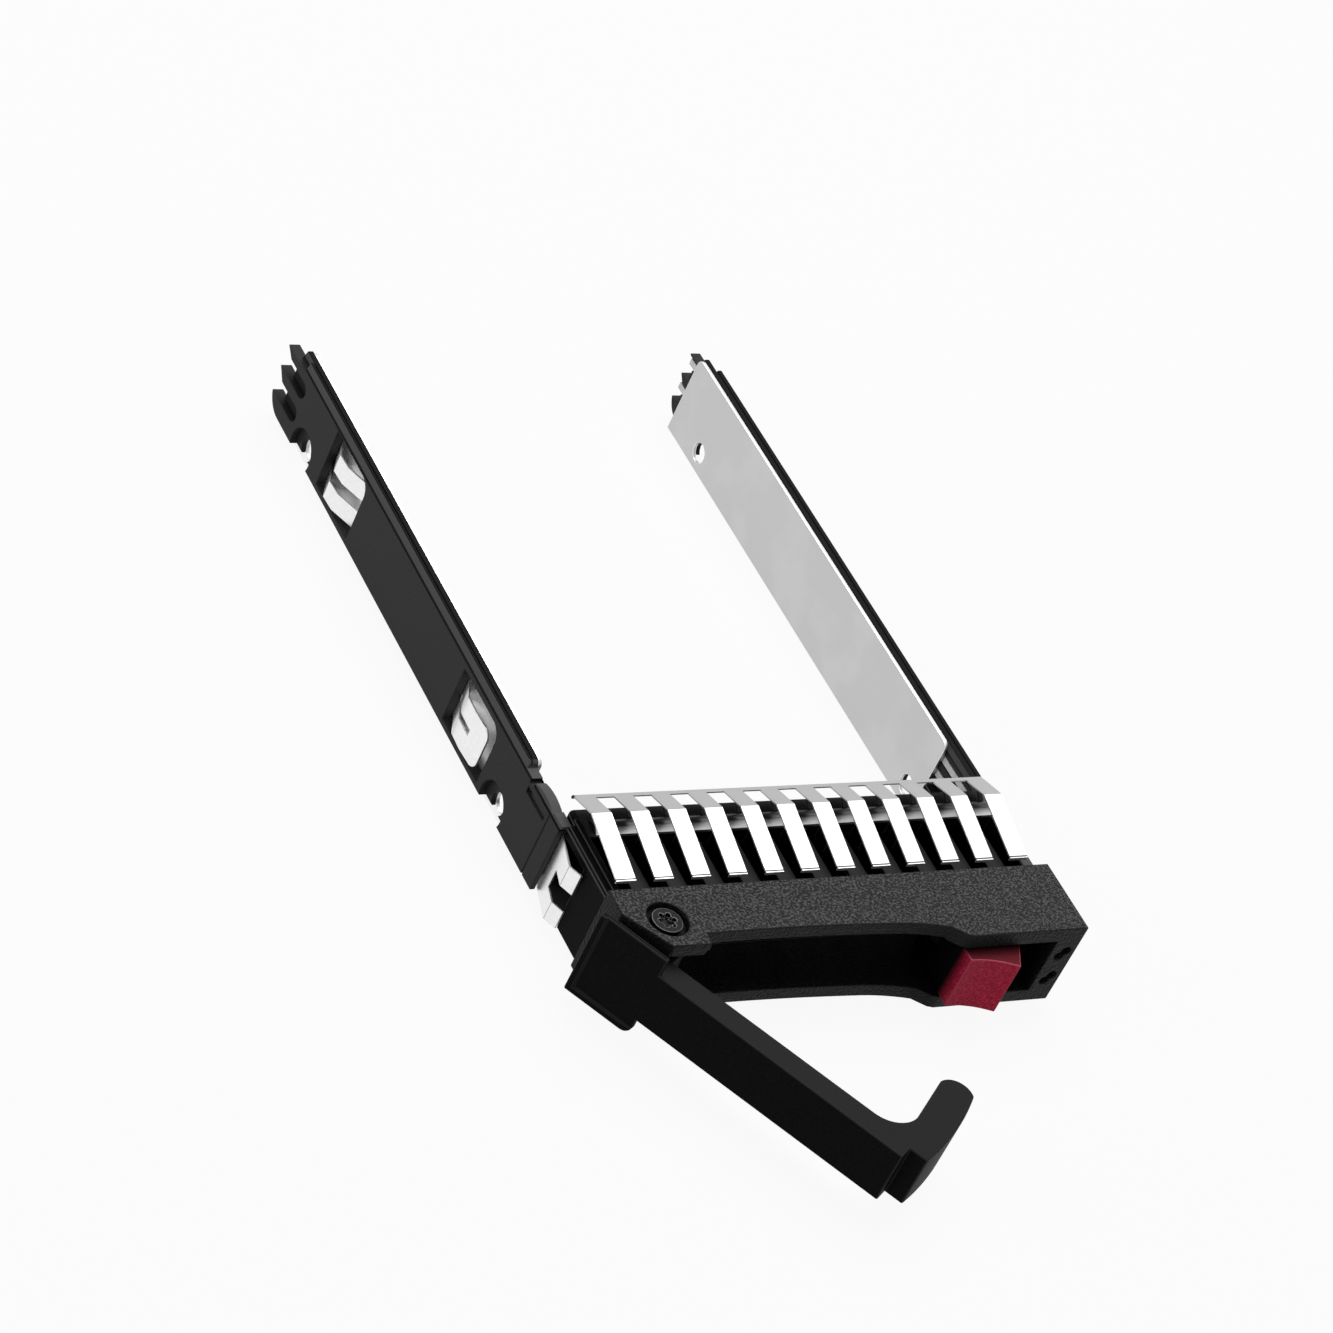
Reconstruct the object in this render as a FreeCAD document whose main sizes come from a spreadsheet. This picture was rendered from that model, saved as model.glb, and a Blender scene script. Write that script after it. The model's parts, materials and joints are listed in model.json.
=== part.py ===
import FreeCAD, Part
import math
import os
import Sketcher
from FreeCAD import Rotation, Vector

# Hot swap drive caddy for a 2.5 inch drive, with its ejector lever swung open.
# Frame: +X to the right and +Y to the back, seen from the bezel, and +Z up.
# The origin is the middle of the bezel's bottom front edge. Lengths are in
# millimetres and angles in degrees.

SIZES = {
    # The drive and the plates beside it, which set the width of everything else
    "drive_width": (69.85, "width of the drive"),
    "drive_play": (0.95, "room between the plates beyond the drive"),
    "plate_sheet": (0.6, "thickness of the side plates"),
    "seat_gap": (0.05, "gap between pieces that lie on each other"),
    "rail_thick": (1.95, "thickness of a rail"),
    "plate_inner": ("=(drive_width + drive_play) / 2", "centre to a plate's inner face"),
    "plate_outer": ("=plate_inner + plate_sheet", "centre to a plate's outer face"),
    "rail_inner": ("=plate_outer + seat_gap", "centre to a rail's inner face"),
    "rail_outer": ("=rail_inner + rail_thick", "centre to a rail's outer face"),
    "half_width": ("=rail_outer", "half the width of the bezel"),
    # Bezel cover: the textured front shell
    "bezel_height": (15.1, "height of the bezel"),
    "cover_depth": (13.0, "front face to the cover's rear edge"),
    "cover_roof": (2.6, "thickness of the cover's top plate"),
    "mouth_low": (2.3, "thickness of the cover's bottom plate"),
    "mouth_high": ("=bezel_height - cover_roof", "underside of the cover's top plate"),
    "cover_side": (4.4, "width of the cover right of the mouth"),
    "window_right": ("=half_width - cover_side", "centre to the right side of the mouth"),
    "button_room": (16.5, "right side of the mouth to the button's lip"),
    "button_left": ("=window_right - button_room", "centre to the left side of the button's lip"),
    "slant_rear": (8.4, "depth at which the left corner's slant ends"),
    "slant_width": (5.3, "width of the left corner's slant"),
    "slant_left": ("=half_width - slant_width", "centre to the front end of the slant"),
    "brow_front": (1.95, "front edge of the top plate over the pivot"),
    "brow_width": (6.4, "width of that edge"),
    "grip_left": ("=slant_left - brow_width", "centre to the left end of the grip recess"),
    "grip_depth": (3.9, "depth of the grip recess at its left end"),
    "grip_middle": (5.0, "centre to the point where the grip edge bends"),
    "grip_middle_depth": (3.4, "depth of the grip recess there"),
    "grip_gap": (2.7, "curved grip edge to the button's lip"),
    "grip_right": ("=button_left - grip_gap", "centre to the end of the curved grip edge"),
    "grip_right_depth": (2.0, "depth of the grip recess there"),
    "grip_bow": (380.0, "radius of the long flat curve of the grip edge"),
    "grip_bend": (40.0, "radius of the grip edge's right part"),
    "brow_run": (3.0, "length of the slope from the grip edge to the front"),
    "brow_turn": (1.98, "length of that slope's steep part"),
    "brow_turn_depth": (0.34, "depth at which its flat part begins"),
    "edge_step": (0.35, "how far the lower half of that edge is set back"),
    "edge_low": (1.25, "height of that lower half"),
    "cover_wall": (1.8, "thickness of the cover's left side wall"),
    "cover_wall_front": (9.2, "depth at which that wall begins"),
    "led_height_upper": (9.83, "height of the upper light hole"),
    "led_height_lower": (4.68, "height of the lower light hole"),
    "led_inset": (2.12, "right side of the bezel to the light holes"),
    "led_across": ("=half_width - led_inset", "centre to the light holes"),
    "led_radius": (0.8, "radius of each of a light hole's two circles"),
    "led_shift_across": (0.4, "half the sideways shift of the two circles"),
    "led_shift_up": (0.51, "half the upward shift of the two circles"),
    "led_depth": (2.6, "depth of a light hole"),
    # Lever pivot
    "pivot_inset": (6.8, "left side of the bezel to the pivot axis"),
    "pivot_left": ("=half_width - pivot_inset", "centre to the pivot axis"),
    "pivot_depth": (7.0, "front face to the pivot axis"),
    "screw_head_radius": (2.3, "radius of the pivot screw's head"),
    "screw_head_height": (1.05, "height of the pivot screw's head"),
    "screw_radius": (1.4, "radius of the pivot screw's shank"),
    "counterbore_radius": (3.15, "radius of the counterbore round the head"),
    "counterbore_depth": (1.25, "depth of that counterbore"),
    "recess_radius": (1.05, "core radius of the six-lobe recess"),
    "lobe_radius": (0.36, "radius of one lobe"),
    "recess_depth": (0.75, "depth of the six-lobe recess"),
    "bush_radius": (2.0, "outer radius of the pivot bush"),
    "bush_bore": (1.5, "bore radius of the pivot bush"),
    "thread_gap": (0.05, "radial gap of the screw in the bottom plate"),
    "running_gap": (0.06, "radial gap of a moving bore on its pin"),
    # Lever, drawn shut, with its pivot axis at the sketch origin
    "open_angle": (57.66, "angle that the lever is swung open"),
    "lever_lift": (0.7, "gap under the lever's bar"),
    "lever_drop": (0.6, "gap over the lever's bar"),
    "lever_low": ("=mouth_low + lever_lift", "underside of the lever's bar"),
    "lever_high": ("=mouth_high - lever_drop", "top of the lever's bar"),
    "bar_front": (7.1, "pivot axis forward to the bar's front face"),
    "bar_thick": (4.0, "thickness of the bar"),
    "hook_over": (0.1, "how far the hook reaches past the button's lip"),
    "hook_reach": ("=pivot_left + button_left + hook_over", "radius of the hook's outer side"),
    "bar_short": (3.1, "how far the bar ends before the hook's outer side"),
    "hook_notch": (4.7, "pivot axis forward to the notch before the hook"),
    "hook_width": (5.3, "width of the hook where it leaves the bar"),
    "hook_left": ("=hook_reach - hook_width", "pivot axis to the hook's inner side"),
    "hook_bend": (4.7, "radius of the hook's inner corner"),
    "hook_tip": (12.1, "pivot axis back to the hook's outer tip corner"),
    "hook_tip_lean": (1.1, "how far the inner tip corner lies left of the inner side"),
    "hook_tip_depth": (10.7, "pivot axis back to that corner"),
    "hook_tip_radius": (2.9, "radius of the hook's round tip"),
    "hub_radius": (4.2, "radius of the lever's hub"),
    "block_left": (6.85, "pivot axis to the left end of the lever's block"),
    "block_right": (4.36, "pivot axis to the right end of the block"),
    "block_front": (7.4, "pivot axis forward to the block's front rim"),
    "block_thick": (1.15, "thickness of the block's front plate"),
    "block_gap": (0.2, "gap over and under the block"),
    "block_corner": (1.6, "radius of the block's lower right corner"),
    "rim_width": (1.1, "width of the raised rim round the block's panel"),
    # Lever spring
    "coil_radius": (2.9, "mean radius of the lever spring"),
    "coil_wire": (0.2, "radius of the lever spring's wire"),
    "wire_sides": (8, "flat sides round a spring's wire"),
    "coil_corners": (6, "corners of a spring's line in each half turn"),
    "coil_pitch": (0.62, "pitch of the lever spring"),
    "coil_half_turns": (7, "half turns of the lever spring"),
    "coil_drop": (0.3, "gap between the spring's upper leg and the cover's top plate"),
    "coil_top": ("=mouth_high - coil_drop", "height of the lever spring's upper leg"),
    "coil_room": (3.7, "radius of the spring's recess in the hub"),
    "coil_sink": (2.6, "depth of that recess"),
    "coil_floor": ("=lever_high - coil_sink", "floor of that recess"),
    "leg_reach": (1.2, "how far the lever spring's lower leg goes into the hub"),
    # Release button
    "lip_width": (0.8, "width of the button's lip"),
    "button_inner": ("=button_left + lip_width", "centre to the button's side behind the lip"),
    "button_lip_depth": (0.8, "depth at which the lip ends"),
    "button_front": (2.0, "how far the lip stands proud of the bezel"),
    "button_flare": (3.9, "how far the button's right end stands proud"),
    "button_face": (7.8, "width of the button's dished face"),
    "button_right_front": ("=button_left + button_face", "centre to the button's right front corner"),
    "button_slope": (2.0, "width of the slope right of that corner"),
    "button_right": ("=button_right_front + button_slope", "centre to the button's right side"),
    "button_dish": (17.0, "radius of the thumb dish"),
    "button_depth": (10.2, "front face to the button's rear face"),
    "button_gap": (0.3, "gap over and under the button"),
    "guide_depth": (8.0, "front face to the guide pin's axis"),
    "guide_height": (7.4, "height of the guide pin's axis"),
    "guide_radius": (1.0, "radius of the guide pin"),
    "guide_head_radius": (1.8, "radius of the guide pin's head"),
    "guide_head": (0.8, "thickness of that head"),
    "guide_inset": (1.9, "the lip's left side to the guide pin's left end"),
    "guide_start": ("=button_left + guide_inset", "centre to the guide pin's left end"),
    "guide_seat": (2.6, "length of the guide pin in the bezel"),
    "return_radius": (1.55, "mean radius of the return spring"),
    "return_wire": (0.15, "radius of the return spring's wire"),
    "return_half_turns": (12, "half turns of the return spring"),
    "return_seat": (1.2, "depth of the return spring's seat in the button"),
    # Bezel frame
    "frame_clear": (0.15, "gap between a side of the frame and a rail"),
    "frame_side": ("=rail_inner - frame_clear", "centre to the frame's sides at the rails"),
    "frame_shoulder": (1.0, "how far the frame's left side stands out before the rail"),
    "frame_left": ("=frame_side + frame_shoulder", "centre to the frame's left side"),
    "frame_depth": (17.4, "length of the frame behind the cover"),
    "frame_rear": ("=cover_depth + frame_depth", "front face to the frame's rear"),
    "frame_top": (12.9, "top of the frame"),
    "frame_skin": (2.5, "thickness of the frame's top"),
    "frame_wall": (1.65, "thickness of the frame's sides"),
    "frame_back": (1.7, "thickness of the frame's rear wall"),
    "frame_corner": (1.3, "radius of the frame's rear left corner"),
    "shelf_length": (9.9, "length of the eave over the clip"),
    "shelf_low": (11.1, "underside of the eave over the clip"),
    "frame_edge": (0.66, "height of the step along the frame's top left edge"),
    "frame_edge_width": (0.15, "width of that step"),
    "channel_past": (2.9, "the button's lip to the right side of the hook's room"),
    "channel_right": ("=button_left + channel_past", "centre to the right side of the hook's room"),
    "channel_width": (18.0, "width of the hook's room"),
    "channel_length": (9.0, "length of the hook's room behind the cover"),
    "channel_high": (12.25, "ceiling of the hook's room"),
    "tongue_depth": (2.0, "length of the tongues under the cover"),
    "tongue_left": (24.0, "centre to the left tongue's left side"),
    "tongue_width": (25.0, "width of the left tongue"),
    "tongue_inset": (0.6, "gap from the right tongue to the side of the mouth"),
    "vent_width": (3.2, "width of one vent slot"),
    "vent_low": (3.3, "underside of the vent slots"),
    "vent_high": (9.8, "top of the vent slots"),
    # Finger strip
    "finger_gaps": (11, "number of gaps between the fingers"),
    "finger_margin": (1.965, "the frame's side to the middle of the outermost finger"),
    "finger_spacing": ("=2 * (frame_side - finger_margin) / finger_gaps", "distance from finger to finger"),
    "finger_gap": (3.07, "width of one gap"),
    "strip_inset": (0.25, "the frame's sides to the ends of the strip"),
    "strip_sheet": (0.25, "thickness of the strip"),
    "tip_inset": (1.8, "the cover's rear edge to the fingers' tips"),
    "tip_depth": ("=cover_depth + tip_inset", "front face to the fingers' tips"),
    "tip_rise": (1.75, "height of the tips over the frame"),
    "tip_height": ("=frame_top + tip_rise", "height of the fingers' tips"),
    "tip_lip": (0.5, "height of the lip bent down at the tips"),
    "crest_ahead": (4.8, "the crest to the frame's rear"),
    "crest_depth": ("=frame_rear - crest_ahead", "front face to the fingers' crest"),
    "crest_rise": (4.2, "height of the crest over the frame"),
    "crest_height": ("=frame_top + crest_rise", "height of the crest"),
    "spine_past": (0.55, "how far the spine reaches past the frame's rear"),
    "spine_depth": ("=frame_rear + spine_past", "front face to the spine's rear edge"),
    "spine_drop": (1.65, "height of the crest over the spine's rear edge"),
    "spine_height": ("=crest_height - spine_drop", "height of the spine's rear edge"),
    "spine_width": (1.0, "width of the spine that the gaps leave"),
    "curl": (0.7, "height of the curl at the spine's rear edge"),
    "band_ahead": (2.3, "rear of the base band to the frame's rear"),
    "band_width": (2.9, "width of the base band"),
    "band_rear": ("=frame_rear - band_ahead", "front face to the rear of the base band"),
    "band_front": ("=band_rear - band_width", "front face to the front of the base band"),
    "band_bow": (1.75, "radius of the base band's arch"),
    "pocket_width": (3.2, "width of the pocket under a finger"),
    "pocket_inset": (1.1, "the cover's rear edge to the pockets"),
    "pocket_short": (0.2, "the pockets to the base band"),
    # Vent screen
    "screen_sheet": (0.4, "thickness of the vent screen"),
    "screen_slot": (1.5, "width of the screen's slots"),
    "screen_count": (22, "number of slots in the screen"),
    # Side plates and the drive's screws
    "plate_behind": (9.2, "the frame's rear to the plates"),
    "plate_front": ("=frame_rear + plate_behind", "front end of the plates"),
    "plate_low": (-1.6, "underside of the plates"),
    "plate_high": (13.2, "top of the plates"),
    "plate_corner": (1.3, "radius of the plates' upper corners"),
    "screw_inset": (3.5, "front end of the plates to the front drive screws"),
    "screw_front": ("=plate_front + screw_inset", "front face to the front drive screws"),
    "screw_spacing": (76.6, "spacing of the drive screws"),
    "screw_rear": ("=screw_front + screw_spacing", "front face to the rear drive screws"),
    "screw_rise": (3.0, "the plates' lower edges to the drive screws"),
    "screw_height": ("=plate_low + screw_rise", "height of the drive screws"),
    "plate_hole": (1.7, "radius of the plates' screw holes"),
    "plate_tail": (9.9, "length of the plates behind the rear drive screws"),
    "plate_rear": ("=screw_rear + plate_tail", "rear end of the plates"),
    # Rails
    "rail_overlap": (2.9, "how far the left rail reaches beside the frame"),
    "rail_front": ("=frame_rear - rail_overlap", "front face to the left rail's front end"),
    "right_rail_gap": (0.2, "gap between the cover and the right rail"),
    "right_rail_front": ("=cover_depth + right_rail_gap", "front face to the right rail's front end"),
    "rail_tail": (3.6, "length of the rails behind the plates"),
    "rail_rear": ("=plate_rear + rail_tail", "front face to the rails' rear ends"),
    "rail_height": (13.3, "height of a rail"),
    "face_height": (11.9, "height of the left rail's outer face below its step"),
    "face_step": (0.2, "depth of that step"),
    "rail_lean": (0.3, "how far the upper band leans in"),
    "rail_rim": (0.9, "thickness of the inner rim along a rail's top"),
    "slit_width": (0.25, "width of the slit between the rim and the upper band"),
    "slit_floor": (12.2, "floor of that slit"),
    "rim_corner": (1.2, "radius of the rim's front end"),
    "rim_end": (0.4, "the plates' rear end to the rim's rear tip"),
    "band_end": (3.1, "the upper band's rear end to the plates' rear end"),
    "tail_height": (11.3, "height of a rail behind its upper band"),
    "slot_bottom": (5.5, "the plates' rear end to the bottom of the rear slots"),
    "slot_upper": (8.6, "height of the upper rear slot's middle"),
    "slot_lower": (4.0, "height of the lower rear slot's middle"),
    "slot_height": (2.8, "height of a rear slot"),
    "slot_skin": (0.5, "thickness of a rail behind its rear slots"),
    "slot_through": (1.3, "the plates' rear end to where the rear slots go right through"),
    "prong_slant": (2.1, "how far the prongs' ends are cut back"),
    "rim_slant": (0.8, "length of the slant at the rim's rear tip"),
    "prong_round": (4.4, "radius of the lowest prong's underside at its end"),
    "rear_window_ahead": (19.75, "front end of the rear window to the rear drive screws"),
    "rear_window_length": (12.5, "length of the rear window"),
    "rear_window_top": (11.6, "top of the rear window"),
    "front_window_behind": (4.95, "the front drive screws to the front window"),
    "front_window_length": (13.1, "length of the front window"),
    "front_window_top": (10.85, "top of the front window"),
    "window_bottom": (0.9, "underside of the windows"),
    "pipe_window_top": (6.0, "top of the right rail's windows"),
    "window_corner": (2.4, "radius of the windows' upper front corner"),
    "rear_window_front": ("=screw_rear - rear_window_ahead", "front end of the rear window"),
    "rear_window_rear": ("=rear_window_front + rear_window_length", "rear end of the rear window"),
    "front_window_front": ("=screw_front + front_window_behind", "front end of the front window"),
    "front_window_rear": ("=front_window_front + front_window_length", "rear end of the front window"),
    "relief": (0.45, "depth of the spring's relief in a rail"),
    "relief_reach": (5.0, "length of that relief past a window"),
    "nose_slot_height": (10.25, "height of the middle of the slot in the left rail's nose"),
    "nose_slot_width": (1.05, "width of that slot"),
    "nose_slot_ahead": (2.2, "that slot's rear end to the plates"),
    "nose_slot_length": (5.9, "length of that slot"),
    "nose_wall": (0.7, "thickness of the nose at that slot"),
    "nose_room_low": (9.0, "underside of the room behind that slot"),
    "nose_room_high": (11.3, "top of that room"),
    "nose_room_past": (0.5, "how far that room reaches past the slot's ends"),
    "nose_rise": (2.6, "the frame's rear to where the right rail is full height"),
    "nose_high": (12.5, "height of the block at the left rail's front end"),
    "nose_dip": (12.15, "height where the nose's curved top begins behind that block"),
    "nose_bow": (9.0, "radius of that curved top"),
    "nose_notch": (11.4, "floor of the notch behind the curved top"),
    "nose_notch_ahead": (2.1, "that notch's rear end to the plates"),
    "nose_notch_length": (1.0, "length of that notch"),
    "nose_block": (2.95, "length of the block at the left rail's front end"),
    "nose_groove": ("=rail_front + nose_block", "front face to the groove behind that block"),
    "groove_width": (0.3, "width of that groove"),
    "rail_hole": (1.75, "radius of the rails' screw holes"),
    "rail_counterbore": (3.5, "radius of the counterbores in the rails"),
    "rail_counterbore_depth": (1.2, "depth of those counterbores"),
    # Arms of the frame, and the rivet and tab that hold each rail
    "arm_length": (8.0, "length of the frame's arms behind its rear"),
    "arm_rear": ("=frame_rear + arm_length", "rear end of the frame's arms"),
    "arm_thick": (2.0, "thickness of an arm"),
    "arm_low": (1.0, "underside of an arm"),
    "arm_high": (6.4, "top of an arm"),
    "rivet_ahead": (2.2, "the rivets to the arms' rear ends"),
    "rivet_height": (3.8, "height of the rivets"),
    "rivet_radius": (0.8, "radius of a rivet's shank"),
    "rivet_head": (1.4, "radius of a rivet's head"),
    "rivet_head_thick": (0.5, "thickness of a rivet's head"),
    "rivet_reach": (1.1, "length of a rivet's shank in the rail"),
    "tab_ahead": (6.6, "an arm's tab to the arm's rear end"),
    "tab_length": (1.6, "length of the tab that keeps the rail from turning"),
    "tab_low": (2.9, "underside of that tab"),
    "tab_high": (4.7, "top of that tab"),
    # Side springs and clip
    "leaf_sheet": (0.3, "thickness of the side springs"),
    "leaf_proud": (0.6, "how far the side springs stand out of the rails"),
    "leaf_bulge": ("=rail_outer + leaf_proud", "centre to the side springs' crowns"),
    "leaf_low": (1.7, "underside of the side springs"),
    "rear_leaf_high": (10.1, "top of the rear side spring"),
    "front_leaf_high": (9.1, "top of the front side spring"),
    "pipe_leaf_high": (5.6, "top of the right side springs"),
    "leaf_corner": (1.6, "radius of the front spring's free corners"),
    "leaf_arm": (3.2, "width of a spring's arm"),
    "leaf_root": (3.6, "length of a spring's root behind its window"),
    "leaf_free": (1.35, "a window's front end to the front spring's free end"),
    "leaf_slot": (5.55, "a window's front end to the slot in the front spring"),
    "leaf_tuck": (1.25, "a rear window's front end to where its spring goes behind the rail"),
    "leaf_rise": (0.3, "share of a window from its rear end to a spring's rear bend"),
    "leaf_crest": (0.54, "share of a window from its rear end to a spring's front bend"),
    "leaf_sag": (0.15, "how much lower a spring's second bend lies"),
    "clip_sheet": (0.35, "thickness of the front clip"),
    "clip_low": (0.3, "underside of the clip"),
    "clip_high": (10.7, "top of the clip"),
    "clip_short": (0.8, "the clip's rear end to the arm's"),
    "clip_root": ("=arm_rear - clip_short", "front face to the rear end of the clip"),
    "clip_root_high": (8.4, "top of the clip's root behind the arm"),
    "clip_start_ahead": (0.8, "the clip leaving its seat to the frame's rear"),
    "clip_start": ("=frame_rear - clip_start_ahead", "front face to where the clip leaves its seat"),
    "clip_room": (1.1, "depth of the clip's room in the left rail's front end"),
    "clip_ahead": (8.7, "the bend of the clip's prongs to the frame's rear"),
    "clip_bend": ("=frame_rear - clip_ahead", "front face to the bend of the clip's prongs"),
    "clip_tip_length": (2.0, "length of the prongs' tips"),
    "clip_tip": ("=clip_bend - clip_tip_length", "front face to the prongs' tips"),
    "clip_proud": (0.5, "how far the bend of the prongs stands out of the rail"),
    "clip_out": ("=rail_outer + clip_proud", "centre to the bend of the prongs"),
    "clip_tip_drop": (1.0, "how far the prongs' tips lie inside their bend"),
    "clip_notch_length": (2.9, "bend of the prongs to the bottom of the clip's notch"),
    "clip_notch_low": (3.6, "underside of the notch"),
    "clip_notch_high": (6.9, "top of the notch"),
    # Light pipes
    "pipe_half": (0.55, "half the width and height of a light pipe"),
    "pipe_inset": (0.65, "a rail's inner face to the middle of a light pipe"),
    "pipe_across": ("=rail_inner + pipe_inset", "centre to the light pipes"),
    "pipe_upper": (10.3, "height of the upper light pipe"),
    "pipe_lower": (5.2, "height of the lower light pipe's ends"),
    "pipe_raised": (7.6, "height of the lower light pipe along the rail"),
    "pipe_rise_behind": (2.5, "the cover's rear edge to the lower pipe's front slope"),
    "pipe_slope": (5.0, "length of the lower pipe's slopes"),
    "pipe_drop_ahead": (5.1, "the lower pipe's rear slope to the plates' rear end"),
    "pipe_short": (0.8, "the light pipes' rear ends to the rail's"),
    "pipe_end": ("=rail_rear - pipe_short", "front face to the light pipes' rear ends"),
    "pipe_room": (0.2, "room round a light pipe in its groove"),
}

doc = FreeCAD.newDocument("drive_caddy")
sheet = doc.addObject("Spreadsheet::Sheet", "Sizes")


class Size:
    """A number that knows the spreadsheet formula it comes from."""

    def __init__(self, text, value):
        self.text = text
        self.value = value

    def __add__(self, other):
        other = as_size(other)
        return Size("(%s + %s)" % (self.text, other.text), self.value + other.value)

    def __sub__(self, other):
        other = as_size(other)
        return Size("(%s - %s)" % (self.text, other.text), self.value - other.value)

    def __mul__(self, other):
        other = as_size(other)
        return Size("(%s * %s)" % (self.text, other.text), self.value * other.value)

    def __truediv__(self, other):
        other = as_size(other)
        return Size("(%s / %s)" % (self.text, other.text), self.value / other.value)

    def __radd__(self, other):
        return as_size(other) + self

    def __rsub__(self, other):
        return as_size(other) - self

    def __rmul__(self, other):
        return as_size(other) * self

    def __neg__(self):
        return Size("(-1 * %s)" % self.text, -self.value)

    def root(self):
        return Size("sqrt(%s)" % self.text, math.sqrt(self.value))

    def cosine(self):
        return Size("cos(%s * 1 deg)" % self.text, math.cos(math.radians(self.value)))

    def sine(self):
        return Size("sin(%s * 1 deg)" % self.text, math.sin(math.radians(self.value)))


def as_size(number):
    if isinstance(number, Size):
        return number
    return Size("(%s)" % number if number < 0 else str(number), float(number))


class Sizes:
    """The spreadsheet's cells by name."""


s = Sizes()
for row, (name, (number, meaning)) in enumerate(SIZES.items(), start=1):
    sheet.set("A%d" % row, name)
    sheet.set("B%d" % row, str(number))
    sheet.set("C%d" % row, meaning)
    sheet.setAlias("B%d" % row, name)
doc.recompute()
for name in SIZES:
    setattr(s, name, Size("Sizes.%s" % name, float(sheet.get(name))))

# Where the sketch planes point: top looks up, side looks to the right, and
# front looks forward, so its level counts against Y.
PLANES = {"top": "XY_Plane", "front": "XZ_Plane", "side": "YZ_Plane"}
AXES = {"x": "X_Axis", "y": "Y_Axis", "z": "Z_Axis"}
bodies = []


def origin_feature(body, role):
    """One of a body's own origin planes or axes."""
    for feature in body.Origin.OriginFeatures:
        if feature.Role == role:
            return feature
    raise ValueError(role)


def new_body(name):
    body = doc.addObject("PartDesign::Body", name)
    body.Label = name
    body.AllowCompound = True
    bodies.append(body)
    return body


def feature_name(body, kind):
    return "%s_%s_%d" % (body.Name, kind, len(body.Group) + 1)


def new_sketch(body, plane, level):
    sketch = body.newObject("Sketcher::SketchObject", feature_name(body, "sketch"))
    sketch.AttachmentSupport = [(origin_feature(body, PLANES[plane]), "")]
    sketch.MapMode = "FlatFace"
    sketch.setExpression("AttachmentOffset.Base.z", level.text)
    return sketch


def fix(sketch, kind, geometry, point, size):
    """Bind one coordinate of a sketch point to its size."""
    index = sketch.addConstraint(Sketcher.Constraint(kind, geometry, point, size.value))
    sketch.setExpression("Constraints[%d]" % index, size.text)


def fix_radius(sketch, geometry, size):
    index = sketch.addConstraint(Sketcher.Constraint("Radius", geometry, size.value))
    sketch.setExpression("Constraints[%d]" % index, size.text)


def arc_between(start, end, bow):
    """The short arc from start to end; its centre is left of the way if bow is positive."""
    radius = abs(bow.value)
    way = end - start
    half = way.Length / 2
    left = Vector(-way.y, way.x, 0).normalize()
    reach = math.sqrt(max(radius * radius - half * half, 0.0))
    centre = (start + end) / 2 + left * math.copysign(reach, bow.value)
    first, last = (start, end) if bow.value > 0 else (end, start)
    angles = [math.atan2(p.y - centre.y, p.x - centre.x) for p in (first, last)]
    return Part.ArcOfCircle(Part.Circle(centre, Vector(0, 0, 1), radius), angles[0], angles[1])


def draw(sketch, corners, closed=True):
    """Lines and arcs through corners (across, up) or (across, up, bow of the next edge)."""
    places = [Vector(as_size(c[0]).value, as_size(c[1]).value, 0) for c in corners]
    edges = len(corners) if closed else len(corners) - 1
    ends = []
    for i in range(edges):
        start, end = places[i], places[(i + 1) % len(places)]
        bow = as_size(corners[i][2]) if len(corners[i]) > 2 else None
        edge = arc_between(start, end, bow) if bow else Part.LineSegment(start, end)
        index = sketch.addGeometry(edge)
        backwards = bow is not None and bow.value < 0
        ends.append((index, 2, 1) if backwards else (index, 1, 2))
        if bow:
            fix_radius(sketch, index, bow if bow.value > 0 else -bow)
    for i, (index, first, last) in enumerate(ends):
        if closed or i:
            before = ends[i - 1]
            sketch.addConstraint(Sketcher.Constraint("Coincident", before[0], before[2], index, first))
        fix(sketch, "DistanceX", index, first, as_size(corners[i][0]))
        fix(sketch, "DistanceY", index, first, as_size(corners[i][1]))
    if not closed:
        index, first, last = ends[-1]
        fix(sketch, "DistanceX", index, last, as_size(corners[-1][0]))
        fix(sketch, "DistanceY", index, last, as_size(corners[-1][1]))


def ring(across, up, radius):
    """A circle, for the list of outlines of a slab."""
    return {"centre": (as_size(across), as_size(up)), "radius": as_size(radius)}


def draw_ring(sketch, outline):
    across, up = outline["centre"]
    radius = outline["radius"]
    index = sketch.addGeometry(
        Part.Circle(Vector(across.value, up.value, 0), Vector(0, 0, 1), radius.value))
    fix(sketch, "DistanceX", index, 3, across)
    fix(sketch, "DistanceY", index, 3, up)
    fix_radius(sketch, index, radius)


def slab(body, plane, outlines, low, high, cut=False):
    """Add or cut the outlines between two levels of the axis across the plane."""
    low, high = as_size(low), as_size(high)
    level = low if not cut else high
    if plane == "front":
        level = -high if not cut else -low
    sketch = new_sketch(body, plane, level)
    for outline in outlines:
        if isinstance(outline, dict):
            draw_ring(sketch, outline)
        else:
            draw(sketch, outline)
    kind = "Pocket" if cut else "Pad"
    feature = body.newObject("PartDesign::" + kind, feature_name(body, kind.lower()))
    feature.Profile = sketch
    feature.setExpression("Length", (high - low).text)
    sketch.Visibility = False
    return feature


def cut(body, plane, outlines, low, high):
    return slab(body, plane, outlines, low, high, cut=True)


def box_outline(left, low, right, high):
    return [(left, low), (right, low), (right, high), (left, high)]


def repeat(body, feature, axis, step, count):
    """Copies of a feature along an axis, count of them in all."""
    pattern = body.newObject("PartDesign::LinearPattern", feature_name(body, "row"))
    pattern.Originals = [feature]
    pattern.Direction = (origin_feature(body, AXES[axis]), [""])
    pattern.setExpression("Length", (step * (count - 1)).text)
    pattern.setExpression("Occurrences", count.text)
    body.Tip = pattern
    return pattern


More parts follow.
